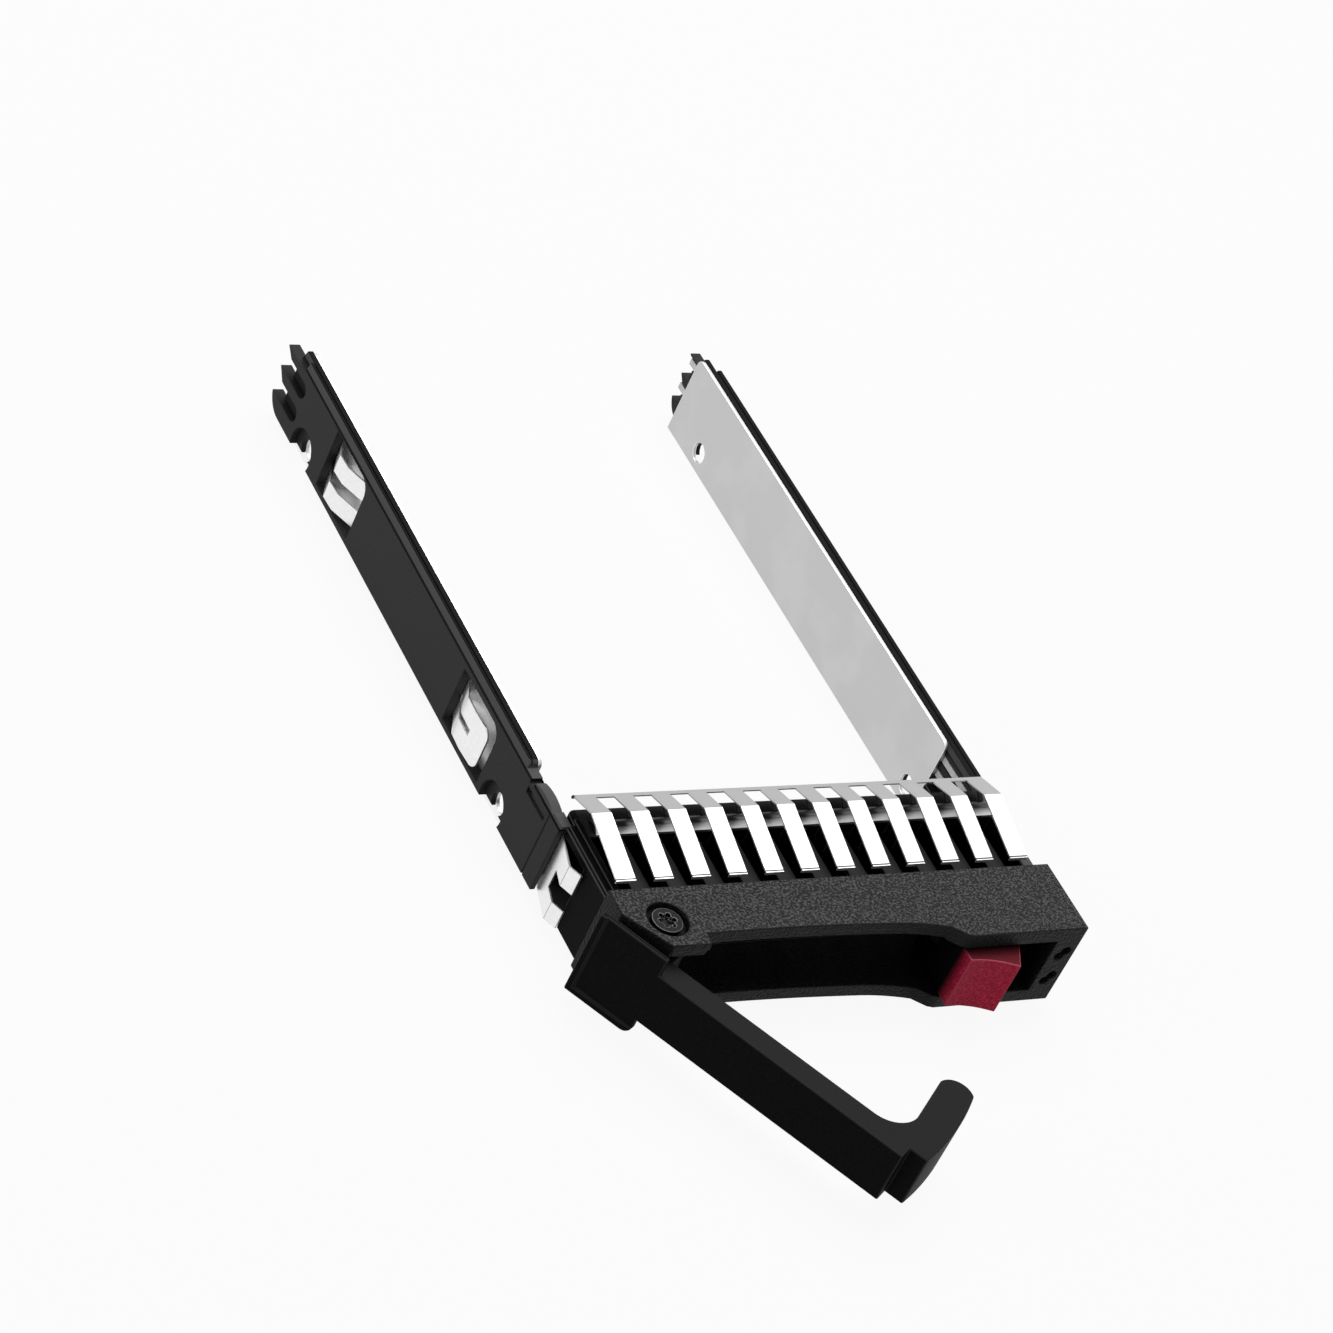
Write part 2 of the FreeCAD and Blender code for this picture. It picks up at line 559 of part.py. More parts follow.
def span(side, near, far):
    """The low and high X of a slab that lies between two distances from the centre."""
    return (near, far) if side > 0 else (-far, -near)


def mirrored(side, corners):
    """Corners with their first coordinate on the given side of the centre."""
    return [(side * c[0], c[1]) if len(c) < 3 else (side * c[0], c[1], side * c[2]) for c in corners]


# Values that several pieces share
pocket_count = s.finger_gaps + 1
first_pocket = -s.finger_spacing * s.finger_gaps / 2
first_gap = -s.finger_spacing * (s.finger_gaps - 1) / 2
strip_half = s.frame_side - s.strip_inset
frame_inner = s.frame_side - s.frame_wall
ceiling = s.frame_top - s.frame_skin
back_inner = s.frame_rear - s.frame_back
rivet_end = s.rail_inner + s.rivet_reach
past = as_size(1)


def grip_edge(back):
    """The cover's curved front edge from its left end to its right, moved back."""
    return [
        (-s.slant_left, s.brow_front + back),
        (-s.grip_left, s.brow_front + back),
        (-s.grip_left, s.grip_depth + back, -s.grip_bow),
        (s.grip_middle, s.grip_middle_depth + back, -s.grip_bend),
        (s.grip_right, s.grip_right_depth + back),
    ]


def make_front_bezel():
    body = new_body("front_bezel")
    outline = [(-s.half_width, s.cover_depth), (-s.half_width, s.slant_rear)]
    outline += grip_edge(as_size(0))
    outline += [
        (s.grip_right + s.brow_turn, s.brow_turn_depth),
        (s.grip_right + s.brow_run, as_size(0)),
        (s.half_width, as_size(0)),
        (s.half_width, s.cover_depth),
    ]
    slab(body, "top", [outline], 0, s.bezel_height)
    mouth = [
        (-s.half_width + s.cover_wall, s.cover_depth + past),
        (-s.half_width + s.cover_wall, s.cover_wall_front),
        (-s.half_width - past, s.cover_wall_front),
        (-s.half_width - past, -past),
        (s.window_right, -past),
        (s.window_right, s.cover_depth + past),
    ]
    cut(body, "top", [mouth], s.mouth_low, s.mouth_high)
    # The lower half of the top plate's edge is set back
    edge = grip_edge(s.edge_step) + [(s.grip_right, -past), (-s.slant_left, -past)]
    cut(body, "top", [edge], s.mouth_high - s.seat_gap, s.mouth_high + s.edge_low)
    # Counterbore, clearance hole and thread of the pivot screw
    axis = (-s.pivot_left, s.pivot_depth)
    cut(body, "top", [ring(*axis, s.counterbore_radius)],
        s.bezel_height - s.counterbore_depth, s.bezel_height + past)
    cut(body, "top", [ring(*axis, s.screw_radius + s.thread_gap)], -past, s.bezel_height)
    # Light holes: two crossing circles each, with a light pipe's bore behind
    for height in (s.led_height_upper, s.led_height_lower):
        for way in (-1, 1):
            middle = (s.led_across + way * s.led_shift_across, height + way * s.led_shift_up)
            cut(body, "front", [ring(*middle, s.led_radius)], -past, s.led_depth)
    reach = s.pipe_half + s.running_gap
    for height in (s.pipe_upper, s.pipe_lower):
        cut(body, "front", [box_outline(s.pipe_across - reach, height - reach,
                                        s.pipe_across + reach, height + reach)],
            s.led_depth - s.led_radius, s.cover_depth + past)
    # Blind bore that holds the guide pin
    cut(body, "side", [ring(s.guide_depth, s.guide_height, s.guide_radius)],
        s.window_right - past, s.window_right + s.guide_seat)
    return body


def make_bezel_frame():
    body = new_body("bezel_frame")
    outline = [
        (-s.frame_left, s.cover_depth),
        (s.frame_side, s.cover_depth),
        (s.frame_side, s.frame_rear),
        (-s.frame_side + s.frame_corner, s.frame_rear, s.frame_corner),
        (-s.frame_side, s.frame_rear - s.frame_corner),
        (-s.frame_left, s.frame_rear - s.frame_corner),
    ]
    slab(body, "top", [outline], 0, s.frame_top)
    # Tongues that reach under the cover's top plate, clear of the lever's swing
    tongues = ((-s.tongue_left, -s.tongue_left + s.tongue_width),
               (s.channel_right, s.window_right - s.tongue_inset))
    for left, right in tongues:
        slab(body, "top", [box_outline(left, s.cover_depth - s.tongue_depth,
                                       right, s.cover_depth + past)],
             ceiling, s.mouth_high - s.seat_gap)
    # Room for the clip under the eave
    cut(body, "top", [box_outline(-s.frame_left - past, s.frame_rear - s.shelf_length,
                                  -s.frame_side, s.frame_rear + past)], -past, s.shelf_low)
    cut(body, "top", [box_outline(-s.frame_left - past, s.rail_front - s.seat_gap,
                                  -s.frame_side, s.frame_rear + past)], -past, s.frame_top + past)
    # Hollow that the hook swings into
    cut(body, "top", [box_outline(-frame_inner, s.cover_depth - s.tongue_depth - past,
                                  frame_inner, back_inner)], s.mouth_low, ceiling)
    cut(body, "top", [box_outline(s.channel_right - s.channel_width,
                                  s.cover_depth - s.tongue_depth - past,
                                  s.channel_right, s.cover_depth + s.channel_length)],
        s.mouth_low, s.channel_high)
    # One pocket under each finger
    pocket = cut(body, "top", [box_outline(first_pocket - s.pocket_width / 2,
                                           s.cover_depth + s.pocket_inset,
                                           first_pocket + s.pocket_width / 2,
                                           s.band_front - s.pocket_short)],
                 ceiling - past, s.frame_top + past)
    repeat(body, pocket, "x", s.finger_spacing, pocket_count)
    # Vents through the rear wall, one behind each gap of the fingers
    vent = cut(body, "front", [box_outline(first_gap - s.vent_width / 2, s.vent_low,
                                           first_gap + s.vent_width / 2, s.vent_high)],
               back_inner - past, s.frame_rear + past)
    repeat(body, vent, "x", s.finger_spacing, s.finger_gaps)
    # Step along the left edge of the top
    cut(body, "top", [box_outline(-s.frame_left - past, s.cover_depth - past,
                                  -s.frame_left + s.frame_edge_width, s.rail_front)],
        s.frame_top - s.frame_edge, s.frame_top + past)
    # An arm for each rail, with its tab and rivet hole
    for side in (-1, 1):
        inner, outer = span(side, s.frame_side - s.arm_thick, s.frame_side)
        slab(body, "side", [box_outline(back_inner, s.arm_low, s.arm_rear, s.arm_high)], inner, outer)
        slab(body, "side", [tab_outline(as_size(0))], *span(side, s.frame_side - s.seat_gap, rivet_end))
        cut(body, "side", [rivet_ring(s.rivet_radius)], inner, outer)
    return body


def rivet_ring(radius):
    """The outline of a side's rivet, or of its hole."""
    return ring(s.arm_rear - s.rivet_ahead, s.rivet_height, radius)


def tab_outline(room):
    """The tab on an arm of the frame, with room all round it."""
    front = s.arm_rear - s.tab_ahead
    return box_outline(front - room, s.tab_low - room, front + s.tab_length + room, s.tab_high + room)


def make_finger_strip():
    body = new_body("finger_strip")
    sheet_thick = s.strip_sheet
    seat = s.frame_top + s.seat_gap
    profile = [
        (s.tip_depth, s.tip_height - s.tip_lip),
        (s.tip_depth, s.tip_height),
        (s.crest_depth, s.crest_height),
        (s.spine_depth - s.curl / 4, s.spine_height),
        (s.spine_depth, s.spine_height - s.curl / 3),
        (s.spine_depth, s.spine_height - s.curl * 2 / 3),
        (s.spine_depth - s.curl / 4, s.spine_height - s.curl),
        (s.band_rear, seat, s.band_bow),
        (s.band_front + sheet_thick * 1.5, seat),
        (s.band_front, seat, -s.band_bow),
        (s.band_rear - sheet_thick * 0.5, seat + sheet_thick),
        (s.spine_depth - sheet_thick * 1.2 - s.curl / 4, s.spine_height - s.curl + sheet_thick * 0.6),
        (s.spine_depth - sheet_thick, s.spine_height - s.curl / 2),
        (s.spine_depth - s.curl / 4 - sheet_thick * 0.5, s.spine_height - sheet_thick),
        (s.crest_depth, s.crest_height - sheet_thick),
        (s.tip_depth + sheet_thick, s.tip_height - sheet_thick),
        (s.tip_depth + sheet_thick, s.tip_height - s.tip_lip),
    ]
    slab(body, "side", [profile], -strip_half, strip_half)
    # A gap takes the leaf and its leg away and leaves the spine and the base band
    spine_front = s.spine_depth - s.spine_width
    spine_low = s.spine_height - s.curl
    leaf_low = s.tip_height - s.tip_lip - sheet_thick / 2
    leg_front = s.band_rear + sheet_thick / 2
    leg_low = seat + sheet_thick / 2
    gap = [
        (s.tip_depth - past, leaf_low),
        (leg_front, leaf_low),
        (leg_front, leg_low),
        (s.spine_depth + past, leg_low),
        (s.spine_depth + past, spine_low),
        (spine_front, spine_low),
        (spine_front, s.crest_height + past),
        (s.tip_depth - past, s.crest_height + past),
    ]
    slot = cut(body, "side", [gap], first_gap - s.finger_gap / 2, first_gap + s.finger_gap / 2)
    repeat(body, slot, "x", s.finger_spacing, s.finger_gaps)
    return body


def make_vent_screen():
    body = new_body("vent_screen")
    rear = back_inner - s.seat_gap
    front = rear - s.screen_sheet
    low, high = s.mouth_low + s.seat_gap, ceiling - s.seat_gap
    across = frame_inner - s.seat_gap
    slab(body, "front", [box_outline(-across, low, across, high)], front, rear)
    step = s.finger_spacing / 2
    first = -step * (s.screen_count - 1) / 2
    slot = cut(body, "front", [box_outline(first - s.screen_slot / 2, s.vent_low,
                                           first + s.screen_slot / 2, s.vent_high)],
               front - past, rear + past)
    repeat(body, slot, "x", step, s.screen_count)
    return body


def window_outline(front, rear, top):
    """A rail window with its upper front corner rounded."""
    corner = s.window_corner
    return [
        (front, s.window_bottom),
        (rear, s.window_bottom),
        (rear, top),
        (front + corner, top, corner),
        (front, top - corner),
    ]


def lower_pipe_ribbon(half, rear):
    """The outline in side view of a band along the lower light pipe, half its height each way."""
    rise = s.cover_depth + s.pipe_rise_behind
    drop = s.plate_rear - s.pipe_drop_ahead
    path = [
        (s.led_depth, s.pipe_lower),
        (rise, s.pipe_lower),
        (rise + s.pipe_slope, s.pipe_raised),
        (drop - s.pipe_slope, s.pipe_raised),
        (drop, s.pipe_lower),
        (rear, s.pipe_lower),
    ]
    return [(y, z - half) for y, z in path] + [(y, z + half) for y, z in reversed(path)]


def cut_rail_top(body, side, front, low, high):
    """The slit along a rail's top, and the shape of the top's front end."""
    above = s.rail_height + past
    start = s.plate_front if side < 0 else s.frame_rear + s.nose_rise
    slit = span(side, s.rail_inner + s.rail_rim, s.rail_inner + s.rail_rim + s.slit_width)
    cut(body, "side", [box_outline(start, s.slit_floor, s.rail_rear + past, above)], *slit)
    if side > 0:
        slope = [
            (front - past, s.nose_high),
            (s.frame_rear, s.nose_high),
            (start, s.rail_height),
            (start, above),
            (front - past, above),
        ]
        cut(body, "side", [slope], low, high)
        return
    notch_rear = s.plate_front - s.nose_notch_ahead
    rim_foot = s.rail_height - s.rim_corner
    nose = [
        (front - past, s.nose_high),
        (s.nose_groove, s.nose_high),
        (s.nose_groove, s.nose_dip, -s.nose_bow),
        (notch_rear - s.nose_notch_length, s.nose_dip),
        (notch_rear - s.nose_notch_length, s.nose_notch),
        (notch_rear, s.nose_notch),
        (notch_rear, rim_foot),
        (s.plate_front, rim_foot, -s.rim_corner),
        (s.plate_front + s.rim_corner, s.rail_height),
        (s.plate_front + s.rim_corner, above),
        (front - past, above),
    ]
    cut(body, "side", [nose], low, high)


def cut_nose(body, low, high):
    """The slot in the left rail's nose with the room behind it, and the groove ahead of it."""
    rear = s.plate_front - s.nose_slot_ahead
    front = rear - s.nose_slot_length
    half = s.nose_slot_width / 2
    cut(body, "side", [box_outline(front, s.nose_slot_height - half, rear, s.nose_slot_height + half)],
        low, high)
    cut(body, "side", [box_outline(front - s.nose_room_past, s.nose_room_low,
                                   rear + s.nose_room_past, s.nose_room_high)],
        *span(-1, s.rail_inner - past, s.rail_outer - s.nose_wall))
    cut(body, "side", [box_outline(s.nose_groove, -past, s.nose_groove + s.groove_width,
                                   s.nose_high + past)],
        *span(-1, s.rail_outer - s.face_step, s.rail_outer + past))


def cut_rail_end(body, side, low, high):
    """The slots and prongs of a rail's rear end."""
    far = s.rail_rear + past
    half = s.slot_height / 2
    bottom = s.plate_rear - s.slot_bottom
    pocket = span(side, s.rail_inner + s.slot_skin, s.rail_outer + past)
    for height in (s.slot_upper, s.slot_lower):
        slot = [
            (bottom + half, height + half, half),
            (bottom, height, half),
            (bottom + half, height - half),
            (far, height - half),
            (far, height + half),
        ]
        cut(body, "side", [slot], *pocket)
        cut(body, "side", [box_outline(s.plate_rear + s.slot_through, height - half,
                                       far, height + half)], low, high)
    # Slanted ends of the upper and middle prong, and the round underside of the lowest
    prongs = ((s.slot_upper + half, s.tail_height), (s.slot_lower + half, s.slot_upper - half))
    for prong_low, prong_high in prongs:
        slant = [
            (s.rail_rear - s.prong_slant, prong_low),
            (far, prong_low),
            (far, prong_high),
            (s.rail_rear, prong_high),
        ]
        cut(body, "side", [slant], low, high)
    underside = [
        (s.rail_rear - s.prong_round, -past),
        (far, -past),
        (far, s.prong_round),
        (s.rail_rear, s.prong_round, -s.prong_round),
        (s.rail_rear - s.prong_round, as_size(0)),
    ]
    cut(body, "side", [underside], low, high)
    # Lower top behind the upper band, and behind the rim's slanted tip
    above = s.rail_height + past
    cut(body, "side", [box_outline(s.plate_rear - s.band_end, s.tail_height, far, above)],
        *span(side, s.rail_inner + s.rail_rim, s.rail_outer + past))
    tip = s.plate_rear + s.rim_end
    rim_tip = [
        (tip - s.rim_slant, s.rail_height),
        (tip, s.tail_height),
        (far, s.tail_height),
        (far, above),
        (tip - s.rim_slant, above),
    ]
    cut(body, "side", [rim_tip], low, high)


def make_rail(name, side):
    """A side rail. The right one reaches the cover and carries the light pipes."""
    body = new_body(name)
    piped = side > 0
    front = s.right_rail_front if piped else s.rail_front
    section = [
        (s.rail_inner, as_size(0)),
        (s.rail_outer, as_size(0)),
        (s.rail_outer, s.rail_height),
        (s.rail_inner, s.rail_height),
    ]
    if not piped:
        step = s.rail_outer - s.face_step
        section[2:3] = [
            (s.rail_outer, s.face_height),
            (step, s.face_height),
            (step - s.rail_lean, s.rail_height),
        ]
    slab(body, "front", [mirrored(side, section)], front, s.rail_rear)
    low, high = span(side, s.rail_inner - past, s.rail_outer + past)
    cut_rail_top(body, side, front, low, high)
    cut_rail_end(body, side, low, high)
    # Windows, and the relief that the side springs lie in
    rear_top = s.pipe_window_top if piped else s.rear_window_top
    front_top = s.pipe_window_top if piped else s.front_window_top
    windows = ((s.rear_window_front, s.rear_window_rear, rear_top),
               (s.front_window_front, s.front_window_rear, front_top))
    for window_front, window_rear, top in windows:
        cut(body, "side", [window_outline(window_front, window_rear, top)], low, high)
        cut(body, "side", [box_outline(window_front - s.relief_reach / 2, s.window_bottom,
                                       window_rear + s.relief_reach, top)],
            *span(side, s.rail_inner - past, s.rail_inner + s.relief))
    # Drive screw holes, with counterbores that break out through the rail's underside
    for depth in (s.screw_front, s.screw_rear):
        cut(body, "side", [ring(depth, s.screw_height, s.rail_hole)], low, high)
        cut(body, "side", [ring(depth, s.screw_height, s.rail_counterbore)],
            *span(side, s.rail_outer - s.rail_counterbore_depth, s.rail_outer + past))
    if piped:
        # Grooves for the light pipes
        room = s.pipe_half + s.pipe_room
        depths = span(side, s.rail_inner - past, s.pipe_across + room)
        cut(body, "side", [box_outline(front - past, s.pipe_upper - room,
                                       s.rail_rear + past, s.pipe_upper + room)], *depths)
        cut(body, "side", [lower_pipe_ribbon(room, s.rail_rear + past)], *depths)
    else:
        cut_nose(body, low, high)
        # Room for the front clip and its root
        room = s.clip_sheet + s.seat_gap
        cut(body, "side", [box_outline(front - past, -past, s.clip_root + s.seat_gap,
                                       s.clip_root_high + s.seat_gap)],
            *span(side, s.rail_inner - past, s.rail_inner + room))
        cut(body, "side", [box_outline(front - past, -past, s.nose_groove, s.clip_high + s.seat_gap)],
            *span(side, s.rail_inner - past, s.rail_inner + s.clip_room))
    # Holes for the frame's tab and for the rivet
    cut(body, "side", [tab_outline(s.seat_gap), rivet_ring(s.rivet_radius)],
        *span(side, s.rail_inner, rivet_end))
    return body


def make_side_plate(name, side):
    body = new_body(name)
    corner = s.plate_corner
    outline = [
        (s.plate_front, s.plate_low),
        (s.plate_rear, s.plate_low),
        (s.plate_rear, s.plate_high - corner, corner),
        (s.plate_rear - corner, s.plate_high),
        (s.plate_front + corner, s.plate_high, corner),
        (s.plate_front, s.plate_high - corner),
    ]
    holes = [ring(depth, s.screw_height, s.plate_hole) for depth in (s.screw_front, s.screw_rear)]
    slab(body, "side", [outline] + holes, *span(side, s.plate_inner, s.plate_outer))
    return body


def leaf_outline(side, line):
    """A bent strip seen from above: the line of its inner face, and its sheet outside that."""
    outer = [(x + s.leaf_sheet, y) for x, y in line]
    return mirrored(side, line + outer[::-1])


def make_side_spring(name, side, window_front, window_rear, high, held):
    """A leaf spring that bulges out of a rail's window; held means its tip goes behind the rail."""
    body = new_body(name)
    seat = s.plate_outer + s.seat_gap * 2
    crown = s.leaf_bulge - s.leaf_sheet
    length = window_rear - window_front
    second_bend = window_rear - length * s.leaf_crest
    line = [
        (seat, window_rear + s.leaf_root),
        (seat, window_rear + s.seat_gap),
    ]
    if held:
        line += [
            (crown, window_rear - length * s.leaf_rise),
            (crown - s.leaf_sag, second_bend),
            (seat, window_front + s.leaf_tuck),
            (seat, window_front - s.relief_reach / 2 + s.leaf_sheet),
        ]
    else:
        line += [
            (crown - s.leaf_sag, window_rear - length * s.leaf_rise),
            (crown, second_bend),
            (crown - s.leaf_sag * 2, window_front + s.leaf_free),
        ]
    slab(body, "top", [leaf_outline(side, line)], s.leaf_low, high)
    if side > 0:
        return body
    through = span(side, seat - past, s.leaf_bulge + past)
    slot_front = window_front + (s.leaf_sheet if held else s.leaf_slot)
    cut(body, "side", [box_outline(slot_front, s.leaf_low + s.leaf_arm,
                                   window_rear, high - s.leaf_arm)], *through)
    if not held:
        # Round corners of the free end
        front, corner = window_front + s.leaf_free, s.leaf_corner
        upper = [
            (front - past, high + past),
            (front - past, high - corner),
            (front, high - corner, -corner),
            (front + corner, high),
            (front + corner, high + past),
        ]
        lower = [
            (front - past, s.leaf_low - past),
            (front + corner, s.leaf_low - past),
            (front + corner, s.leaf_low, -corner),
            (front, s.leaf_low + corner),
            (front - past, s.leaf_low + corner),
        ]
        cut(body, "side", [upper, lower], *through)
    return body


def make_left_clip():
    """The forked spring ahead of the left rail."""
    body = new_body("left_clip")
    seat = s.rail_inner
    bend = s.clip_out - s.clip_sheet
    line = [
        (seat, s.clip_root),
        (seat, s.clip_start),
        (bend, s.clip_bend),
        (bend - s.clip_tip_drop, s.clip_tip),
    ]
    outer = [(x + s.clip_sheet, y) for x, y in line]
    slab(body, "top", [mirrored(-1, line + outer[::-1])], s.clip_low, s.clip_high)
    low, high = span(-1, seat - past, s.clip_out + past)
    cut(body, "side", [box_outline(s.clip_tip - past, s.clip_notch_low,
                                   s.clip_bend + s.clip_notch_length, s.clip_notch_high)], low, high)
    cut(body, "side", [box_outline(s.nose_groove, s.clip_root_high, s.clip_root + past,
                                   s.clip_high + past)], low, high)
    cut(body, "side", [tab_outline(s.seat_gap), rivet_ring(s.rivet_radius)], low, high)
    return body


def make_lever():
    """The ejector lever: block, bar and hook in one moulding."""
    body = new_body("ejector_lever")
    front = -s.bar_front
    back = front + s.bar_thick
    hook_front = -s.hook_notch
    reach_front = (s.hook_reach * s.hook_reach - s.hook_notch * s.hook_notch).root()
    reach_tip = (s.hook_reach * s.hook_reach - s.hook_tip * s.hook_tip).root()
    outline = [
        (-s.hub_radius, front),
        (s.hook_reach - s.bar_short, front),
        (s.hook_reach - s.bar_short, hook_front),
        (reach_front, hook_front, s.hook_reach),
        (reach_tip, s.hook_tip, s.hook_tip_radius),
        (s.hook_left - s.hook_tip_lean, s.hook_tip_depth),
        (s.hook_left, back + s.hook_bend, -s.hook_bend),
        (s.hook_left - s.hook_bend, back),
        (s.hub_radius, back),
        (s.hub_radius, as_size(0), s.hub_radius * 1.0001),
        (as_size(0), s.hub_radius, s.hub_radius * 1.0001),
        (-s.hub_radius, as_size(0)),
    ]
    slab(body, "top", [outline], s.lever_low, s.lever_high)
    # Full-height plate of the block, with a raised rim at its left and bottom
    low, high = s.block_gap, s.bezel_height - s.block_gap
    corner = s.block_corner
    plate = [
        (-s.block_left, low),
        (s.block_right - corner, low, corner),
        (s.block_right, low + corner),
        (s.block_right, high),
        (-s.block_left, high),
    ]
    slab(body, "front", [plate], -s.block_front, -s.block_front + s.block_thick)
    cut(body, "front", [box_outline(-s.block_left + s.rim_width, low + s.rim_width,
                                    s.block_right + past, high + past)],
        -s.block_front - past, front)
    # Web from the plate to the hub
    slab(body, "top", [box_outline(-s.hub_radius, front, s.hub_radius, as_size(0))],
         s.lever_low, s.lever_high)
    cut(body, "top", [ring(0, 0, s.coil_room)], s.coil_floor, s.lever_high + past)
    cut(body, "top", [ring(0, 0, s.bush_radius + s.running_gap)], s.lever_low - past, s.lever_high)
    # Hole for the spring's lower leg, where the leg stands with the lever open
    leg = (s.coil_radius * s.open_angle.cosine(), s.coil_radius * s.open_angle.sine())
    cut(body, "top", [ring(*leg, s.coil_wire + s.running_gap)],
        s.coil_floor - s.leg_reach - s.seat_gap, s.coil_floor + past)
    place_on_pivot(body)
    body.Placement.Rotation = Rotation(Vector(0, 0, -1), SIZES["open_angle"][0])
    body.setExpression("Placement.Rotation.Angle", s.open_angle.text)
    return body


def place_on_pivot(body):
    body.setExpression("Placement.Base.x", (-s.pivot_left).text)
    body.setExpression("Placement.Base.y", s.pivot_depth.text)


def make_pivot_screw():
    body = new_body("pivot_screw")
    head_low = s.bezel_height - s.counterbore_depth
    head_high = head_low + s.screw_head_height
    slab(body, "top", [ring(0, 0, s.screw_radius)], s.block_gap, head_low + s.screw_head_height / 2)
    slab(body, "top", [ring(0, 0, s.screw_head_radius)], head_low, head_high)
    cut(body, "top", [ring(0, 0, s.recess_radius)], head_high - s.recess_depth, head_high + past)
    lobe = cut(body, "top", [ring(s.recess_radius + s.lobe_radius * 0.2, 0, s.lobe_radius)],
               head_high - s.recess_depth, head_high + past)
    lobes = body.newObject("PartDesign::PolarPattern", "pivot_screw_lobes")
    lobes.Originals = [lobe]
    lobes.Axis = (origin_feature(body, "Z_Axis"), [""])
    lobes.Angle = 360
    lobes.Occurrences = 6
    body.Tip = lobes
    place_on_pivot(body)
    return body


def make_pivot_bush():
    body = new_body("pivot_bush")
    slab(body, "top", [ring(0, 0, s.bush_radius), ring(0, 0, s.bush_bore)],
         s.mouth_low, s.mouth_high)
    place_on_pivot(body)
    return body


def add_wire(name, line, wire):
    """A wire with flat sides along a line of points, as a feature of its own."""
    way = (line[1] - line[0]).normalize()
    across = way.cross(Vector(0, 0, 1) if abs(way.z) < abs(way.y) + abs(way.x) else Vector(1, 0, 0))
    across.normalize()
    up = way.cross(across)
    sides = int(s.wire_sides.value)
    corners = []
    for i in range(sides):
        angle = 2 * math.pi * i / sides
        corners.append(line[0] + across * (wire.value * math.cos(angle))
                       + up * (wire.value * math.sin(angle)))
    section = Part.makePolygon(corners + corners[:1])
    feature = doc.addObject("Part::Feature", name)
    feature.Label = name
    feature.Shape = Part.makePolygon(line).makePipeShell([section], True, False, 1)
    bodies.append(feature)
    return feature


def make_lever_spring():
    """The torsion spring that throws the lever open."""
    steps = int(s.coil_half_turns.value * s.coil_corners.value)
    radius, top = s.coil_radius.value, s.coil_top.value
    start = top - s.coil_pitch.value * s.coil_half_turns.value / 2
    # Lower leg down into the hub, and upper leg back to the frame
    line = [Vector(radius, 0, s.coil_floor.value - s.leg_reach.value)]
    for i in range(steps + 1):
        angle = -math.pi * i / s.coil_corners.value
        height = start + (top - start) * i / steps
        line.append(Vector(radius * math.cos(angle), radius * math.sin(angle), height))
    line.append(Vector(-radius, (s.cover_depth - s.pivot_depth - s.seat_gap).value, top))
    feature = add_wire("lever_spring", line, s.coil_wire)
    feature.Placement.Base = Vector(-s.pivot_left.value, s.pivot_depth.value, 0)


def make_release_button():
    body = new_body("release_button")
    outline = [
        (s.button_inner, s.button_depth),
        (s.button_inner, s.button_lip_depth),
        (s.button_left, s.button_lip_depth),
        (s.button_left, -s.button_front, -s.button_dish),
        (s.button_right_front, -s.button_flare),
        (s.button_right, as_size(0)),
        (s.button_right, s.button_depth),
    ]
    low, high = s.mouth_low + s.button_gap, s.mouth_high - s.button_gap
    slab(body, "top", [outline], low, high)
    axis = (s.guide_depth, s.guide_height)
    cut(body, "side", [ring(*axis, s.guide_radius + s.running_gap)],
        s.button_left - past, s.button_right + past)
    cut(body, "side", [ring(*axis, s.guide_head_radius + s.button_gap)],
        s.button_left, s.guide_start + s.guide_head + s.button_gap / 2)
    cut(body, "side", [ring(*axis, s.return_radius + s.return_wire + s.button_gap)],
        s.button_right - s.return_seat, s.button_right + past)
    return body


def make_guide_pin():
    body = new_body("guide_pin")
    axis = (s.guide_depth, s.guide_height)
    head_end = s.guide_start + s.guide_head
    slab(body, "side", [ring(*axis, s.guide_head_radius)], s.guide_start, head_end)
    slab(body, "side", [ring(*axis, s.guide_radius)], head_end - s.guide_head / 2,
         s.window_right + s.guide_seat)
    return body


def make_button_spring():
    """The compression spring that pushes the button back to the left."""
    start = (s.button_right - s.return_seat + s.return_wire + s.seat_gap).value
    end = (s.window_right - s.return_wire - s.seat_gap).value
    steps = int(s.return_half_turns.value * s.coil_corners.value)
    line = []
    for i in range(steps + 1):
        angle = math.pi * i / s.coil_corners.value
        line.append(Vector(start + (end - start) * i / steps,
                           s.return_radius.value * math.cos(angle),
                           s.return_radius.value * math.sin(angle)))
    feature = add_wire("button_spring", line, s.return_wire)
    feature.Placement.Base = Vector(0, s.guide_depth.value, s.guide_height.value)


def make_light_pipe(name, outline):
    """A clear square rod along the right rail, from its rear end to a light hole."""
    body = new_body(name)
    slab(body, "side", [outline], s.pipe_across - s.pipe_half, s.pipe_across + s.pipe_half)
    return body


def make_rivets(name, side):
    """The rivet through an arm of the frame into the rail."""
    body = new_body(name)
    arm_inner = s.frame_side - s.arm_thick
    slab(body, "side", [rivet_ring(s.rivet_head)], *span(side, arm_inner - s.rivet_head_thick, arm_inner))
    slab(body, "side", [rivet_ring(s.rivet_radius)],
         *span(side, arm_inner - s.rivet_head_thick / 2, rivet_end))
    return body


